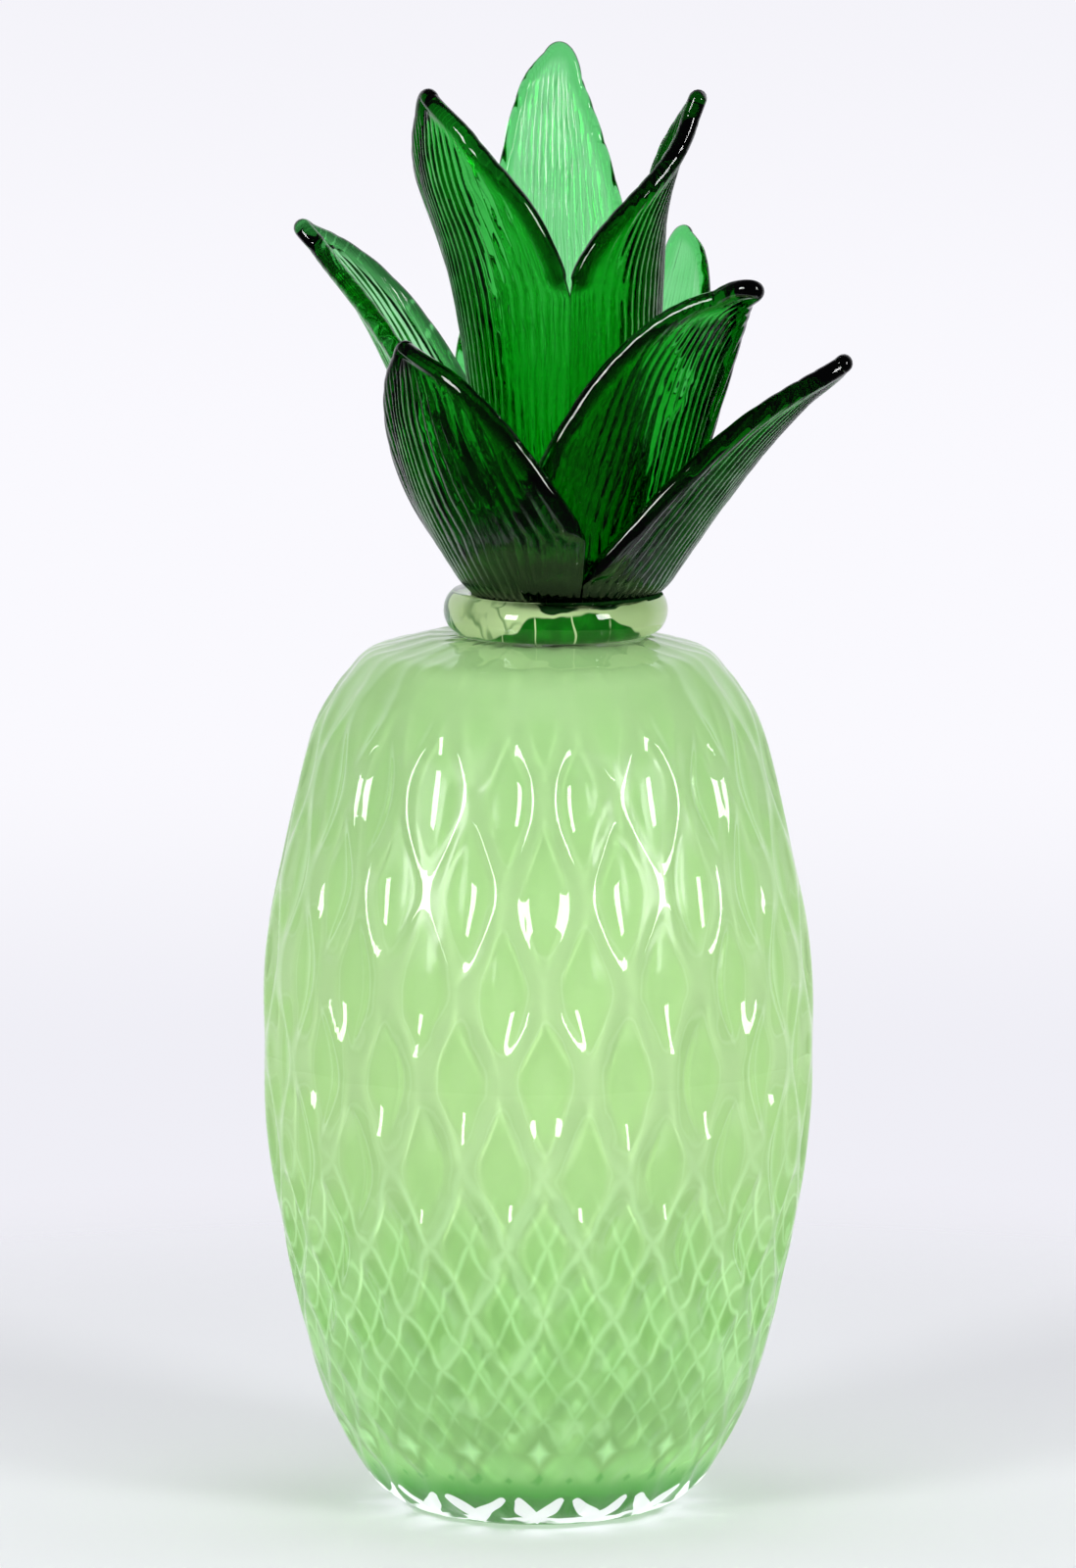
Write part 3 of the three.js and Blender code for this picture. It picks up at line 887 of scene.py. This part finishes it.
def opal_net(nodes, where, height, angle):
    """The green of the diamonds with painted shade low down, and the painted light of the net between
    them, as the relief lays them out.
    """
    row = nodes.stored("row")
    turn = (angle / math.tau - MOULD_TURN / 360) * (2 * DIAMONDS_AROUND)
    first = (turn + row) * 0.5 + waver(nodes, where, seed=3.0, scale=30.0, amount=0.25)
    second = (turn - row) * 0.5 + waver(nodes, where, seed=10.0, scale=30.0, amount=0.25)
    first = first + waver(nodes, where, seed=1.0, scale=110.0, amount=0.16)
    second = second + waver(nodes, where, seed=2.0, scale=110.0, amount=0.16)
    low = 1 - height.eased(*LOW_HALF)
    coarse = product_of_sines(first, second)
    level = 0.03 + (1 - low) * 0.19
    # Painted light: the pale bands, outlines and lines that the casing's ridges bend onto the green.
    band = 1 - coarse.eased(level - 0.12, level + 0.03)
    outline = contour(coarse, level, 0.06) * (0.6 - low * 0.6)
    lines = net(first, second) * low.eased(0.15, 0.5)
    lines = lines.maths("MAXIMUM", net(first + NET_SHIFT, second + NET_SHIFT) * low.eased(0.35, 0.6))
    lines = (lines * (0.45 + height.eased(0.03, 0.06) * 0.55)).maths("MAXIMUM", outline)
    # Painted shade: each small diamond is lighter in one half than in the other, mixed with a cloudy
    # green.
    lit = (first * (4 * math.pi)).sine() - (second * (4 * math.pi)).sine()
    cloud = nodes.noise(where, scale=40.0, detail=3.0)
    painted_cell_shade = lit * 0.2 + cloud * 1.6 - 0.3
    low_cell = nodes.mix(painted_cell_shade.eased(0.0, 1.0), OPAL_LOW_DEEP, OPAL_LOW_CELL)
    cell = nodes.mix(low.eased(0.25, 1.0), OPAL_CELL, low_cell)
    line = nodes.mix(low, OPAL_LIT_LINE, OPAL_LOW_LINE)
    middle = coarse.eased(0.55, 0.95).maths("MAXIMUM", cloud.eased(0.4, 0.7))
    colour = nodes.mix(band.maths("MAXIMUM", middle * 0.5) * (0.34 - low * 0.34), cell, line)
    return nodes.mix(lines, colour, line)


def opal_foot(nodes, colour, where, height, angle):
    """The blotches, the lozenges, the dots and the deep green band above the foot."""
    squat = nodes.add("ShaderNodeVectorMath", {"operation": "MULTIPLY"}, {0: where, 1: (1, 1, 0.5)})
    dapple = nodes.noise(squat, scale=150.0, detail=1.0)
    deep = 1 - height.eased(0.04, 0.085)
    colour = nodes.mix((1 - dapple.eased(0.35, 0.5)) * deep * 0.6, colour, OPAL_LOW_DEEP)
    colour = nodes.mix(dapple.eased(0.52, 0.68) * deep * 0.7, colour, OPAL_LOW_LINE)
    colour = nodes.mix(1 - height.eased(0.017, 0.032), colour, OPAL_BASE)
    mark = spots_round(angle, height, FOOT_VS, FOOT_MARK, 0.0045)
    colour = nodes.mix(1 - mark.eased(1.2, 2.4), colour, OPAL_LOW_DEEP)
    colour = nodes.mix(1 - mark.eased(0.1, 1.3), colour, OPAL_MARK)
    colour = nodes.mix(1 - height.eased(0.012, 0.02), colour, OPAL_UNDER)
    dot = spots_round(angle, height, 2 * FOOT_VS, FOOT_DOT, 0.0014)
    return nodes.mix((1 - dot.eased(0.4, 1.2)) * 0.6, colour, OPAL_UNDER)


def make_opal():
    material, nodes = material_nodes("opal_glass")
    where, height, angle = spot_of(nodes)
    colour = opal_net(nodes, where, height, angle)
    # Painted shade: the upper body, under the crown, is darker.
    colour = nodes.mix(height.eased(*SHOULDER_SHADE_RISE), colour, OPAL_SHOULDER_SHADE)
    colour = opal_foot(nodes, colour, where, height, angle)
    rough = 0.12 + (1 - height.eased(*LOW_HALF)).eased(0.0, 0.4) * 0.8
    inputs = {"Base Color": colour, "Roughness": rough, "Specular IOR Level": 0.25}
    nodes.surface(nodes.add("ShaderNodeBsdfPrincipled", inputs=inputs))
    return material


opal_glass = make_opal()
print("opal ready")

# %% [markdown]
# ## Casing and bubble
# The casing is a shell: its outer wall carries the relief, and its inner wall lies just inside the
# bubble's surface, because the two glasses are fused. A ray that enters the casing then meets the
# green directly, without air between them. That is what makes the green fill the body to its edges.

# %% Casing and bubble
CASING_WALL = 4.6
CASING_FOOT = 12.0
FUSED = 0.7
BUBBLE_WALL = 2.2
CASING_COLUMNS = 400
BUBBLE_COLUMNS = 400
HIDDEN_COLUMNS = 80
HIDDEN_STEP = 6.0


def set_in(spots, side, foot):
    """The profile set in by a wall at its side and top and by a foot at its bottom."""
    squeeze = (BODY_HEIGHT - foot - side) / BODY_HEIGHT
    radius = np.maximum(spots[:, 0] * (BODY_RADIUS - side) / BODY_RADIUS, POLE_RADIUS)
    return np.stack([radius, foot + spots[:, 1] * squeeze], axis=1)


def wall(name, spots, columns, inwards=False):
    """One wall of the body, with its place in the relief. inwards turns its faces round."""
    spots = spots[::-1] if inwards else spots
    line = np.column_stack([spots, np.zeros(len(spots))])
    line = np.vstack([[0, line[0, 1], 0], line, [0, line[-1, 1], 0]])
    count = (np.arange(columns) / columns - MOULD_TURN / 360) * 2 * DIAMONDS_AROUND
    turns = np.repeat(count[None, :], len(spots), axis=0)
    upwards = np.repeat(row_at(spots)[:, None] if not inwards else turns[:, :1], columns, axis=1)
    return spun(name, line, columns, {"turn": turns, "row": upwards})


def with_inside(outer, side, foot, material):
    """Adds the inner wall of a shell that is so thick at its side and its foot."""
    spots = set_in(body_profile(HIDDEN_STEP), side, foot)
    inner = wall(f"{outer.name}_inside", spots, HIDDEN_COLUMNS, inwards=True)
    inner.data.materials.append(material)
    return joined(outer, inner)


def under_collar(x, y, z):
    return z > BODY_HEIGHT - 4 and math.hypot(x - COLLAR_SHIFT, y) < COLLAR_WAIST


def make_casing():
    outer = wall("cased_body", profile, CASING_COLUMNS)
    apply_tree(outer, relief, clear_glass, {"Softness": 0.65, "Wobble": 0.22, "Seed": 3.0})
    paint(outer, fused_joint, under_collar)
    return with_inside(outer, CASING_WALL + FUSED, CASING_FOOT + FUSED, clear_glass)


def make_bubble():
    outer = wall("opal_bubble", set_in(profile, CASING_WALL, CASING_FOOT), BUBBLE_COLUMNS)
    sizes = {"Foot Depth": 0.3, "Low Depth": 0.5, "Belly Depth": 0.7, "Shoulder Depth": 0.5}
    apply_tree(outer, relief, opal_glass, {**sizes, "Wobble": 0.5, "Seed": 5.0})
    return with_inside(outer, CASING_WALL + BUBBLE_WALL, CASING_FOOT + BUBBLE_WALL, opal_glass)


casing = make_casing()
bubble = make_bubble()
measured(casing)
measured(bubble)

# %% [markdown]
# ## Crown: the leaves
# Each cup of the crown is a bowl that was blown in a ribbed mould, cut into three and drawn out into
# leaves. A leaf's middle surface follows the construction: up the bowl of its cup, then along a
# blade to its tip, curled round the blade. What this script adds is what the fire and the mould did:
# ribs that run up the leaf, and thick round rims where the cut edge drew together.

# %% Crown sizes
hub_low, hub_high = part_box("crown_hub")
CROWN_SHIFT = (hub_low.x + hub_high.x) / 2 / MM
CROWN_UNDERSIDE = hub_low.z / MM - 0.3
CUP_RADIUS = 32.0
CUP_DEPTH = 20.0
CUP_STEP = 4.6
CUP_GAP = 0.3
LEAF_WALL = 3.0
TIP_SPRING = 0.36
SIDE_FULLNESS = 1.6
LATEST_PARTING = 0.9
HUB_STEM = 5.0
RIM_RADIUS = 2.5
THIN_RIM = 1.7
EDGE_SWELL = 0.9
SEAM_GAP = 0.06

# One row per cup: the sweep of its bowl, the azimuths of its seams and how many ribs go round it.
# One row per leaf: the azimuth of its blade; its tip's reach, rise and lean; how far it springs up,
# how it curls, how far its tip twists and how broad that is; and for each edge the height where it
# parts and how fast it draws in.
CUPS = {
    "outer": {
        "sweep": 68,
        "seams": (-112, 8, 128),
        "ribs": 66,
        "leaves": {
            "front_left": (-60, (49.5, 79, 100), (0.26, 34, 0, 2.0), (14, 0.7), (27, 0.5)),
            "right": (68, (82, 75, 40), (0.36, 20, 0, 0.4), (14, 0.75), (14, 0.75)),
            "back": (198, (66, 88, 55), (0.34, 26, 0, 1.0), (14, 0.8), (14, 0.6)),
        },
    },
    "middle": {
        "sweep": 76,
        "seams": (-30, 96, 204),
        "ribs": 66,
        "leaves": {
            "front_right": (44, (74, 96, 12), (0.38, 18, -25, 3.0), (26, 1.3), (26, 0.85)),
            "back_right": (148, (62, 102, 60), (0.36, 24, 0, 2.5), (32, 0.6), (32, 1.4)),
            "left": (252, (77, 106, 42), (0.42, 14, 0, 1.5), (32, 0.6), (32, 1.2)),
        },
    },
    "inner": {
        "sweep": 88,
        "seams": (-118, 2, 122),
        "ribs": 64,
        "leaves": {
            "front_left": (-64, (41, 146, 92), (0.9, 26, 0, 3.6), (60, 0.6), (91, 0.45)),
            "right": (72, (38, 145, 68), (0.7, 9, 28, 0.2), (91, 1.3), (60, 0.7)),
            "back": (183, (35, 154, 85), (0.6, 30, 0, 4.5), (40, 0.7), (40, 0.42)),
        },
    },
}
LEAF_GLASS = {
    "inner_back": light_leaf_glass,
    "middle_back_right": light_leaf_glass,
    "outer_back": light_leaf_glass,
    "middle_left": pale_leaf_glass,
    "middle_front_right": clear_leaf_glass,
    "inner_front_left": clear_leaf_glass,
}
RIB_HEIGHTS = {"inner_back": 0.5, "middle_back_right": 0.1, "outer_back": 0.3}
print("crown stands at", round(CROWN_SHIFT, 1), round(CROWN_UNDERSIDE, 1))


# %% Leaf path
def bowl_of(level):
    """How wide and how deep the middle surface of a cup is."""
    wide = CUP_RADIUS - level * CUP_STEP - LEAF_WALL / 2
    deep = CUP_DEPTH - level * (LEAF_WALL + CUP_GAP) - LEAF_WALL / 2
    return wide, deep


def bezier(points, t):
    p0, p1, p2, p3 = points
    t = t[:, None]
    return p0 * (1 - t) ** 3 + 3 * p1 * t * (1 - t) ** 2 + 3 * p2 * t**2 * (1 - t) + p3 * t**3


def leaf_path(level, sweep, tip_sizes, spring):
    """The leaf's middle line in its upright plane as (radius, height), bowl and blade."""
    wide, deep = bowl_of(level)
    end = math.radians(sweep)
    start = math.asin((HUB_STEM + 0.1) / wide)
    angles = np.linspace(start, end, 200)
    bowl = np.stack([wide * np.sin(angles), CUP_DEPTH - deep * np.cos(angles)], axis=1)
    heading = np.array([wide * math.cos(end), deep * math.sin(end)])
    heading /= np.linalg.norm(heading)
    reach, rise, lean = tip_sizes
    tip = np.array([reach, rise], float)
    leaning = np.array([math.cos(math.radians(lean)), math.sin(math.radians(lean))])
    length = np.linalg.norm(tip - bowl[-1])
    controls = (
        bowl[-1],
        bowl[-1] + heading * spring * length,
        tip - leaning * TIP_SPRING * length,
        tip,
    )
    share = np.linspace(0, 1, 1200)
    return bowl, bezier(controls, share), share


print("leaf path ready")

# %% [markdown]
# A leaf is lofted from rings. Each ring runs across the outer face, round the right rim, back across
# the inner face and round the left rim. Before the leaves part, a ring spans its sector of the cup.
# Afterwards it narrows towards the tip, its rims swell to a round bead, and the last rings draw in
# until the two rims meet. The arrays have a row for each ring and a column for each step across it,
# and most come in pairs, for the left and the right side of the leaf.

# %% Leaf surface
FACE_COLUMNS = 184
RIM_STEPS = 8
ROW_STEP = 1.05
TIP_ROWS = 16
TIP_LENGTH = 7.0
TIP_ROUND = 1.7
ACROSS = np.linspace(-1, 1, FACE_COLUMNS + 1)[None, :]
UP = np.array([0, 0, 1.0])


def leaf_rows(lengths, bead):
    """Places of the rings along the leaf, closer and closer towards the tip, where the rim turns."""
    end = lengths[-1] - bead
    body = np.linspace(0, end - TIP_LENGTH, round(end / ROW_STEP))
    turning = end - TIP_LENGTH * np.linspace(1, 0, TIP_ROWS)[1:] ** 2
    return np.concatenate([body, turning])


def by_side(pair):
    """The left one's value in the left half of each ring, and the right one's in its right half."""
    return np.where(ACROSS < 0, pair[0][:, None], pair[1][:, None])


def unit(vectors):
    return vectors / np.linalg.norm(vectors, axis=-1, keepdims=True)


class Leaf:
    """The middle surface of one leaf, from its line and its two edges."""

    def __init__(self, level, sweep, leaf, seams, thick):
        azimuth, tip_sizes, (spring, curl, twist, broad), *edges = leaf
        bowl, self.blade, self.share = leaf_path(level, sweep, tip_sizes, spring)
        self.thick = thick
        self.tip_width = thick + broad
        self.follow(bowl)
        turns = azimuth - seams[0], seams[1] - azimuth
        sides = [self.side(*edge, turn) for edge, turn in zip(edges, turns, strict=True)]
        self.start, self.free, self.width, self.fan = zip(*sides, strict=True)
        self.turn_rings(azimuth, curl, twist)
        self.draw_in()
        self.spread()

    def follow(self, bowl):
        """Places the rings along the leaf's middle line."""
        path = np.vstack([bowl, self.blade[1:]])
        along = np.concatenate([np.linspace(0, 1, len(bowl)), 1 + self.share[1:]])
        lengths = lengths_along(path)
        places = leaf_rows(lengths, self.thick)
        self.to_tip = places[-1] - places
        self.along = np.interp(places, lengths, along) - 1
        self.spot = resampled(places, lengths, path)
        self.heading = unit(resampled(places, lengths, np.gradient(path, lengths, axis=0)))
        self.heading[self.along <= 0] = (0, 1)

    def parting(self, height):
        """The share of the blade at which an edge parts from its neighbour."""
        higher = self.blade[:, 1] >= height
        met = np.argmax(higher) if higher.any() else len(self.share) - 1
        return min(self.share[met], LATEST_PARTING)

    def side(self, height, draw, turn):
        """Where one edge parts, how free it is, how wide its side is and how far the ribs fan."""
        start = self.parting(height)
        free = np.clip((self.along - start) / (self.along[-1] - start), 0, 1)
        wide = np.interp(start, self.share, self.blade[:, 0])
        narrowing = (1 - free**SIDE_FULLNESS) ** draw
        width = np.where(free > 0, wide * narrowing, self.spot[:, 0]) * math.radians(turn)
        fan = np.where(free > 0, wide * np.maximum(narrowing, 0.01) ** 0.5, self.spot[:, 0])
        width = width + EDGE_SWELL * ease(free, 0, 0.1) - SEAM_GAP / 2
        return start, free, np.maximum(width, self.tip_width), fan

    def turn_rings(self, azimuth, curl, twist):
        """Turns the rings from level, as in the cup, to square across the curled blade."""
        bend = ease(self.along, max(self.start), self.along[-1])
        self.radius = mix(self.spot[:, 0], curl, bend)[:, None, None]
        turn = math.radians(azimuth)
        out = np.array([math.sin(turn), -math.cos(turn), 0])
        sideways = np.array([math.cos(turn), math.sin(turn), 0])
        level = -mix(1, self.heading[:, 1], bend)[:, None] * out
        inward = unit(level + mix(0, self.heading[:, 0], bend)[:, None] * UP)
        roll = math.radians(twist) * bend[:, None]
        self.sideways = (np.cos(roll) * sideways + np.sin(roll) * inward)[:, None, :]
        self.inward = (np.cos(roll) * inward - np.sin(roll) * sideways)[:, None, :]
        self.middle = (self.spot[:, :1] * out + self.spot[:, 1:] * UP)[:, None, :]
        self.ahead = self.heading[-1, 0] * out + self.heading[-1, 1] * UP

    def draw_in(self):
        """Sizes the rims, and draws the rings in to a round tip."""
        self.loose = [ease(free, 0, 0.06) for free in self.free]
        self.bead = [mix(LEAF_WALL / 2, self.thick, amount) for amount in self.loose]
        self.cap = [mix(0.1, 1, amount) for amount in self.loose]
        left_over = 1 - np.minimum(self.to_tip / (TIP_ROUND * self.tip_width), 1)
        rounding = np.sqrt(1 - left_over**2)
        sizes = zip(self.width, self.bead, self.cap, strict=True)
        reach = by_side([(width - bead * cap) * rounding for width, bead, cap in sizes])
        self.lateral = reach * ACROSS
        self.inset = reach * (1 - abs(ACROSS))

    def spread(self):
        """Curls the rings, and finds at each point the way across the leaf and the way out of it."""
        angle = self.lateral[:, :, None] / self.radius
        place = self.middle + self.sideways * (self.radius * np.sin(angle))
        self.place = place + self.inward * (self.radius * (1 - np.cos(angle)))
        lean = self.sideways * np.cos(angle) + self.inward * np.sin(angle)
        upwards = np.gradient(self.place, axis=0)
        self.normal = unit(np.cross(lean, upwards))
        self.normal[-1] = self.normal[-1, FACE_COLUMNS // 2]
        self.lean = unit(np.cross(upwards, self.normal))
        self.lean[-1, -1] = self.ahead
        self.lean[-1, 0] = -self.ahead


print("leaf surface ready")

# %% [markdown]
# The rings get three attributes. `rib` counts the ribs across the leaf, `grip` says how strongly they
# show, and `rim` is 1 on the rims and at the tip, where the colour is painted darker as shade for the
# dark room that the round beads bend into view.

# %% Leaf rings
BEAD_BLEND = 2.2
RIM_GRIP = 0.5
INNER_GRIP = 0.5


def rim_points(leaf, right):
    """The half round of one rim, the right one or the left one."""
    end, sign = (-1, 1) if right else (0, -1)
    steps = np.linspace(0, math.pi, RIM_STEPS + 1)[None, 1:-1, None]
    size = leaf.bead[right][:, None, None]
    beyond = sign * np.sin(steps) * size * leaf.cap[right][:, None, None]
    place, lean, normal = (side[:, end][:, None, :] for side in (leaf.place, leaf.lean, leaf.normal))
    return place + lean * beyond + normal * (np.cos(steps) * size * sign)


def leaf_rings(leaf):
    blend = ease(leaf.inset, 0, leaf.thick * BEAD_BLEND)
    half = leaf.normal * mix(by_side(leaf.bead), LEAF_WALL / 2, blend)[:, :, None]
    inner = (leaf.place - half)[:, ::-1]
    faces = [leaf.place + half, rim_points(leaf, True), inner, rim_points(leaf, False)]
    return np.concatenate(faces, axis=1) + np.array([CROWN_SHIFT, 0, CROWN_UNDERSIDE])


def ringed(values, inside=1):
    """Values across the outer face, carried on round the rims and back across the inner face."""
    right = np.repeat(values[:, -1:], RIM_STEPS - 1, axis=1)
    left = np.repeat(values[:, :1], RIM_STEPS - 1, axis=1)
    return np.concatenate([values, right, inside * values[:, ::-1], left], axis=1)


def leaf_object(name, level, cup, sizes, seams, thick):
    leaf = Leaf(level, cup["sweep"], sizes, seams, thick)
    loose = by_side(leaf.loose)
    rib = leaf.lateral / by_side(leaf.fan) * cup["ribs"] / math.tau
    fade = mix(RIM_GRIP, 1, ease(leaf.inset, thick * 0.5, thick * 1.8))
    grip = np.maximum(fade, 1 - loose) * ease(leaf.to_tip, 1, 12)[:, None]
    grip = grip * ease(leaf.spot[:, 0], 4, 20)[:, None]
    rim = loose * (1 - ease(leaf.inset, thick * 0.2, thick * 1.5))
    rim = np.maximum(rim, 1 - ease(leaf.to_tip, thick, 3 * thick)[:, None])
    attributes = {"rib": ringed(rib), "grip": ringed(grip, INNER_GRIP), "rim": ringed(rim)}
    return link(name, grid_mesh(name, leaf_rings(leaf), attributes))


print("leaf rings ready")

# %% [markdown]
# The ribs are one Geometry Nodes tree for all nine leaves. The surface rises between the valleys of
# the rib coordinate like a row of rounded reeds, and noise bends the ribs a little and lets their
# height come and go.


# %% Rib tree
def rib_tree():
    sizes = {"Rib Height": 0.5, "Waver": 0.8, "Lump": 0.35, "Seed": 0.0}
    nodes, given = geometry_tree("leaf_ribs", sizes)
    grip = attribute(nodes, "grip")
    place = nodes.add("GeometryNodeInputPosition")
    shift = (nodes.noise(place, 60.0, 1.0, given["Seed"]) - 0.5) * given["Waver"]
    phase = (attribute(nodes, "rib") + shift) * math.pi
    wave = abs(phase.sine()) ** 0.75 - 0.6
    strength = 0.25 + nodes.noise(place, 180.0, 1.0, given["Seed"] + 5.0) * 1.5
    lump = nodes.noise(place, 110.0, 2.0, given["Seed"] + 9.0) - 0.5
    raised = wave * (grip * given["Rib Height"] * strength) + lump * grip * given["Lump"]
    return displaced(nodes, given, raised * MM)


ribs = rib_tree()
print("rib tree", len(ribs.nodes), "nodes")

# %% Leaves
leaves = {}
for level, (cup_name, cup) in enumerate(CUPS.items()):
    seams = [*cup["seams"], cup["seams"][0] + 360]
    for number, (leaf_name, leaf) in enumerate(cup["leaves"].items()):
        name = f"{cup_name}_{leaf_name}"
        green = LEAF_GLASS.get(name, deep_leaf_glass)
        light = green == light_leaf_glass
        thick = THIN_RIM if light else RIM_RADIUS
        shape = leaf_object(f"ribbed_{name}", level, cup, leaf, seams[number : number + 2], thick)
        sizes = {"Rib Height": RIB_HEIGHTS.get(name, 0.4), "Lump": 0.5 if light else 0.35}
        leaves[name] = apply_tree(shape, ribs, green, {**sizes, "Seed": 10.0 * level + number})
        measured(leaves[name])

# %% [markdown]
# ## Collar and hub
# The collar is a thick thread of clear glass, laid round the joint while it was soft. It bulges
# between the body and the crown, and the crown's bowl has pressed its print into it. The hub is the
# small gather at the bottom of the crown.

# %% Collar
COLLAR_RADIUS = (collar_high.x - collar_low.x) / 2 / MM
COLLAR_UNDERSIDE = BODY_HEIGHT + 0.05
COLLAR_TOP = BODY_HEIGHT + 12.3
COLLAR_COLUMNS = 160
PRINT_SINK = 0.4
PRINT_WIDE = CUP_RADIUS + PRINT_SINK
PRINT_DEEP = CUP_DEPTH + PRINT_SINK
PRINT_LIP = 1.2
CORE_RADIUS = 24.8
CORE_TOP = BODY_HEIGHT + 8.2


def bowl_print():
    """The collar's top, from where it meets the crown's bowl down to the axis."""
    edge = math.acos(1 - (COLLAR_TOP - PRINT_LIP - CROWN_UNDERSIDE) / CUP_DEPTH)
    angles = np.linspace(edge, 0.03, 30)
    rim = CROWN_UNDERSIDE + CUP_DEPTH
    return [(PRINT_WIDE * math.sin(a), rim - PRINT_DEEP * math.cos(a), CROWN_SHIFT) for a in angles]


def on_print(x, y, z):
    """Whether a spot lies on the print of the crown's bowl in the collar."""
    across = math.hypot(x - CROWN_SHIFT, y) / PRINT_WIDE
    fall = (CROWN_UNDERSIDE + CUP_DEPTH - z) / PRINT_DEEP
    return z > COLLAR_UNDERSIDE + 1 and abs(math.hypot(across, fall) - 1) < 0.03


def on_body(x, y, z):
    """Whether a spot lies on the underside of the collar, where it is fused to the body."""
    return z < COLLAR_UNDERSIDE + 0.05 and math.hypot(x, y) < COLLAR_WAIST + 5


def make_ring(print_line):
    half = (COLLAR_TOP - COLLAR_UNDERSIDE) / 2
    middle = COLLAR_UNDERSIDE + half
    swell = COLLAR_RADIUS - COLLAR_WAIST
    bulge = [
        (COLLAR_WAIST + swell * math.cos(t), middle + half * math.sin(t), COLLAR_SHIFT)
        for t in np.radians(np.linspace(-90, 62, 34))
    ]
    start = [(0, COLLAR_UNDERSIDE, 0), (2, COLLAR_UNDERSIDE, 0)]
    end = (0, print_line[-1][1], CROWN_SHIFT)
    ring = spun("wrapped_collar", [*start, *bulge, *print_line, end], COLLAR_COLUMNS)
    ring.data.materials.append(collar_glass)
    paint(ring, fused_joint, on_body)
    paint(ring, joint_glass, on_print)
    return ring


def make_core(print_line):
    """The middle of the collar, whose surface is painted with what the ring bends into view."""
    low = COLLAR_UNDERSIDE + 0.1
    high = COLLAR_UNDERSIDE + 4
    side = [(0, low), (CORE_RADIUS, low), (CORE_RADIUS, high), (CORE_RADIUS - 0.5, CORE_TOP)]
    line = [(radius, height, COLLAR_SHIFT) for radius, height in side]
    line += [(r - 0.3, z - 0.5, shift) for r, z, shift in print_line if r < CORE_RADIUS - 1.5]
    line += [(0, print_line[-1][1] - 0.5, CROWN_SHIFT)]
    core = spun("collar_core", line, COLLAR_COLUMNS)
    core.data.materials.append(joint_glass)
    return core


collar = joined(make_ring(bowl_print()), make_core(bowl_print()))
measured(collar)

# %% Hub
HUB_RADIUS = (hub_high.x - hub_low.x) / 2 / MM
HUB_COLUMNS = 64
HUB_HEAD = 6.0


def make_hub():
    low, high = hub_low.z / MM, hub_high.z / MM
    seat = high - HUB_HEAD
    turns = np.radians(np.linspace(-12, 86, 20))
    dome = [(HUB_RADIUS * math.cos(t), seat + 1 + (HUB_HEAD - 1) * math.sin(t)) for t in turns]
    line = [(0, low), (HUB_STEM - 1, low), (HUB_STEM, low + 1), (HUB_STEM, seat), *dome, (0, high)]
    return spun("green_hub", [(r, z, CROWN_SHIFT) for r, z in line], HUB_COLUMNS)


hub = make_hub()
hub.data.materials.append(deep_leaf_glass)
measured(hub)

# %% [markdown]
# ## Put together
# Nothing on the ornament moves, so every piece rides on the one body. Each piece stands for the CAD
# node whose place it takes.


# %% Ride and replace
def stands_for(piece, node):
    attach(piece, "root")
    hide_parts(node)


stands_for(casing, "clear_casing")
stands_for(bubble, "green_bubble")
stands_for(collar, "clear_collar")
stands_for(hub, "crown_hub")
for name, piece in leaves.items():
    cup_name, leaf_name = name.split("_", 1)
    stands_for(piece, f"{cup_name}_leaf_{leaf_name}")
print(len(leaves) + 4, "pieces ride on the root")

# %% Render settings
scene = bpy.context.scene
scene.view_settings.view_transform = "Standard"
scene.cycles.max_bounces = 24
scene.cycles.transmission_bounces = 24
scene.cycles.glossy_bounces = 8
scene.cycles.diffuse_bounces = 4
scene.cycles.transparent_max_bounces = 24
scene.cycles.sample_clamp_indirect = 8
scene.cycles.blur_glossy = 0.2
print("settings ready")

# %% Measure and finish
sizes = {
    "cad": [list(corner) for corner in cad_box],
    "visual": [list(corner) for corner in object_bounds()],
}
print(sizes)
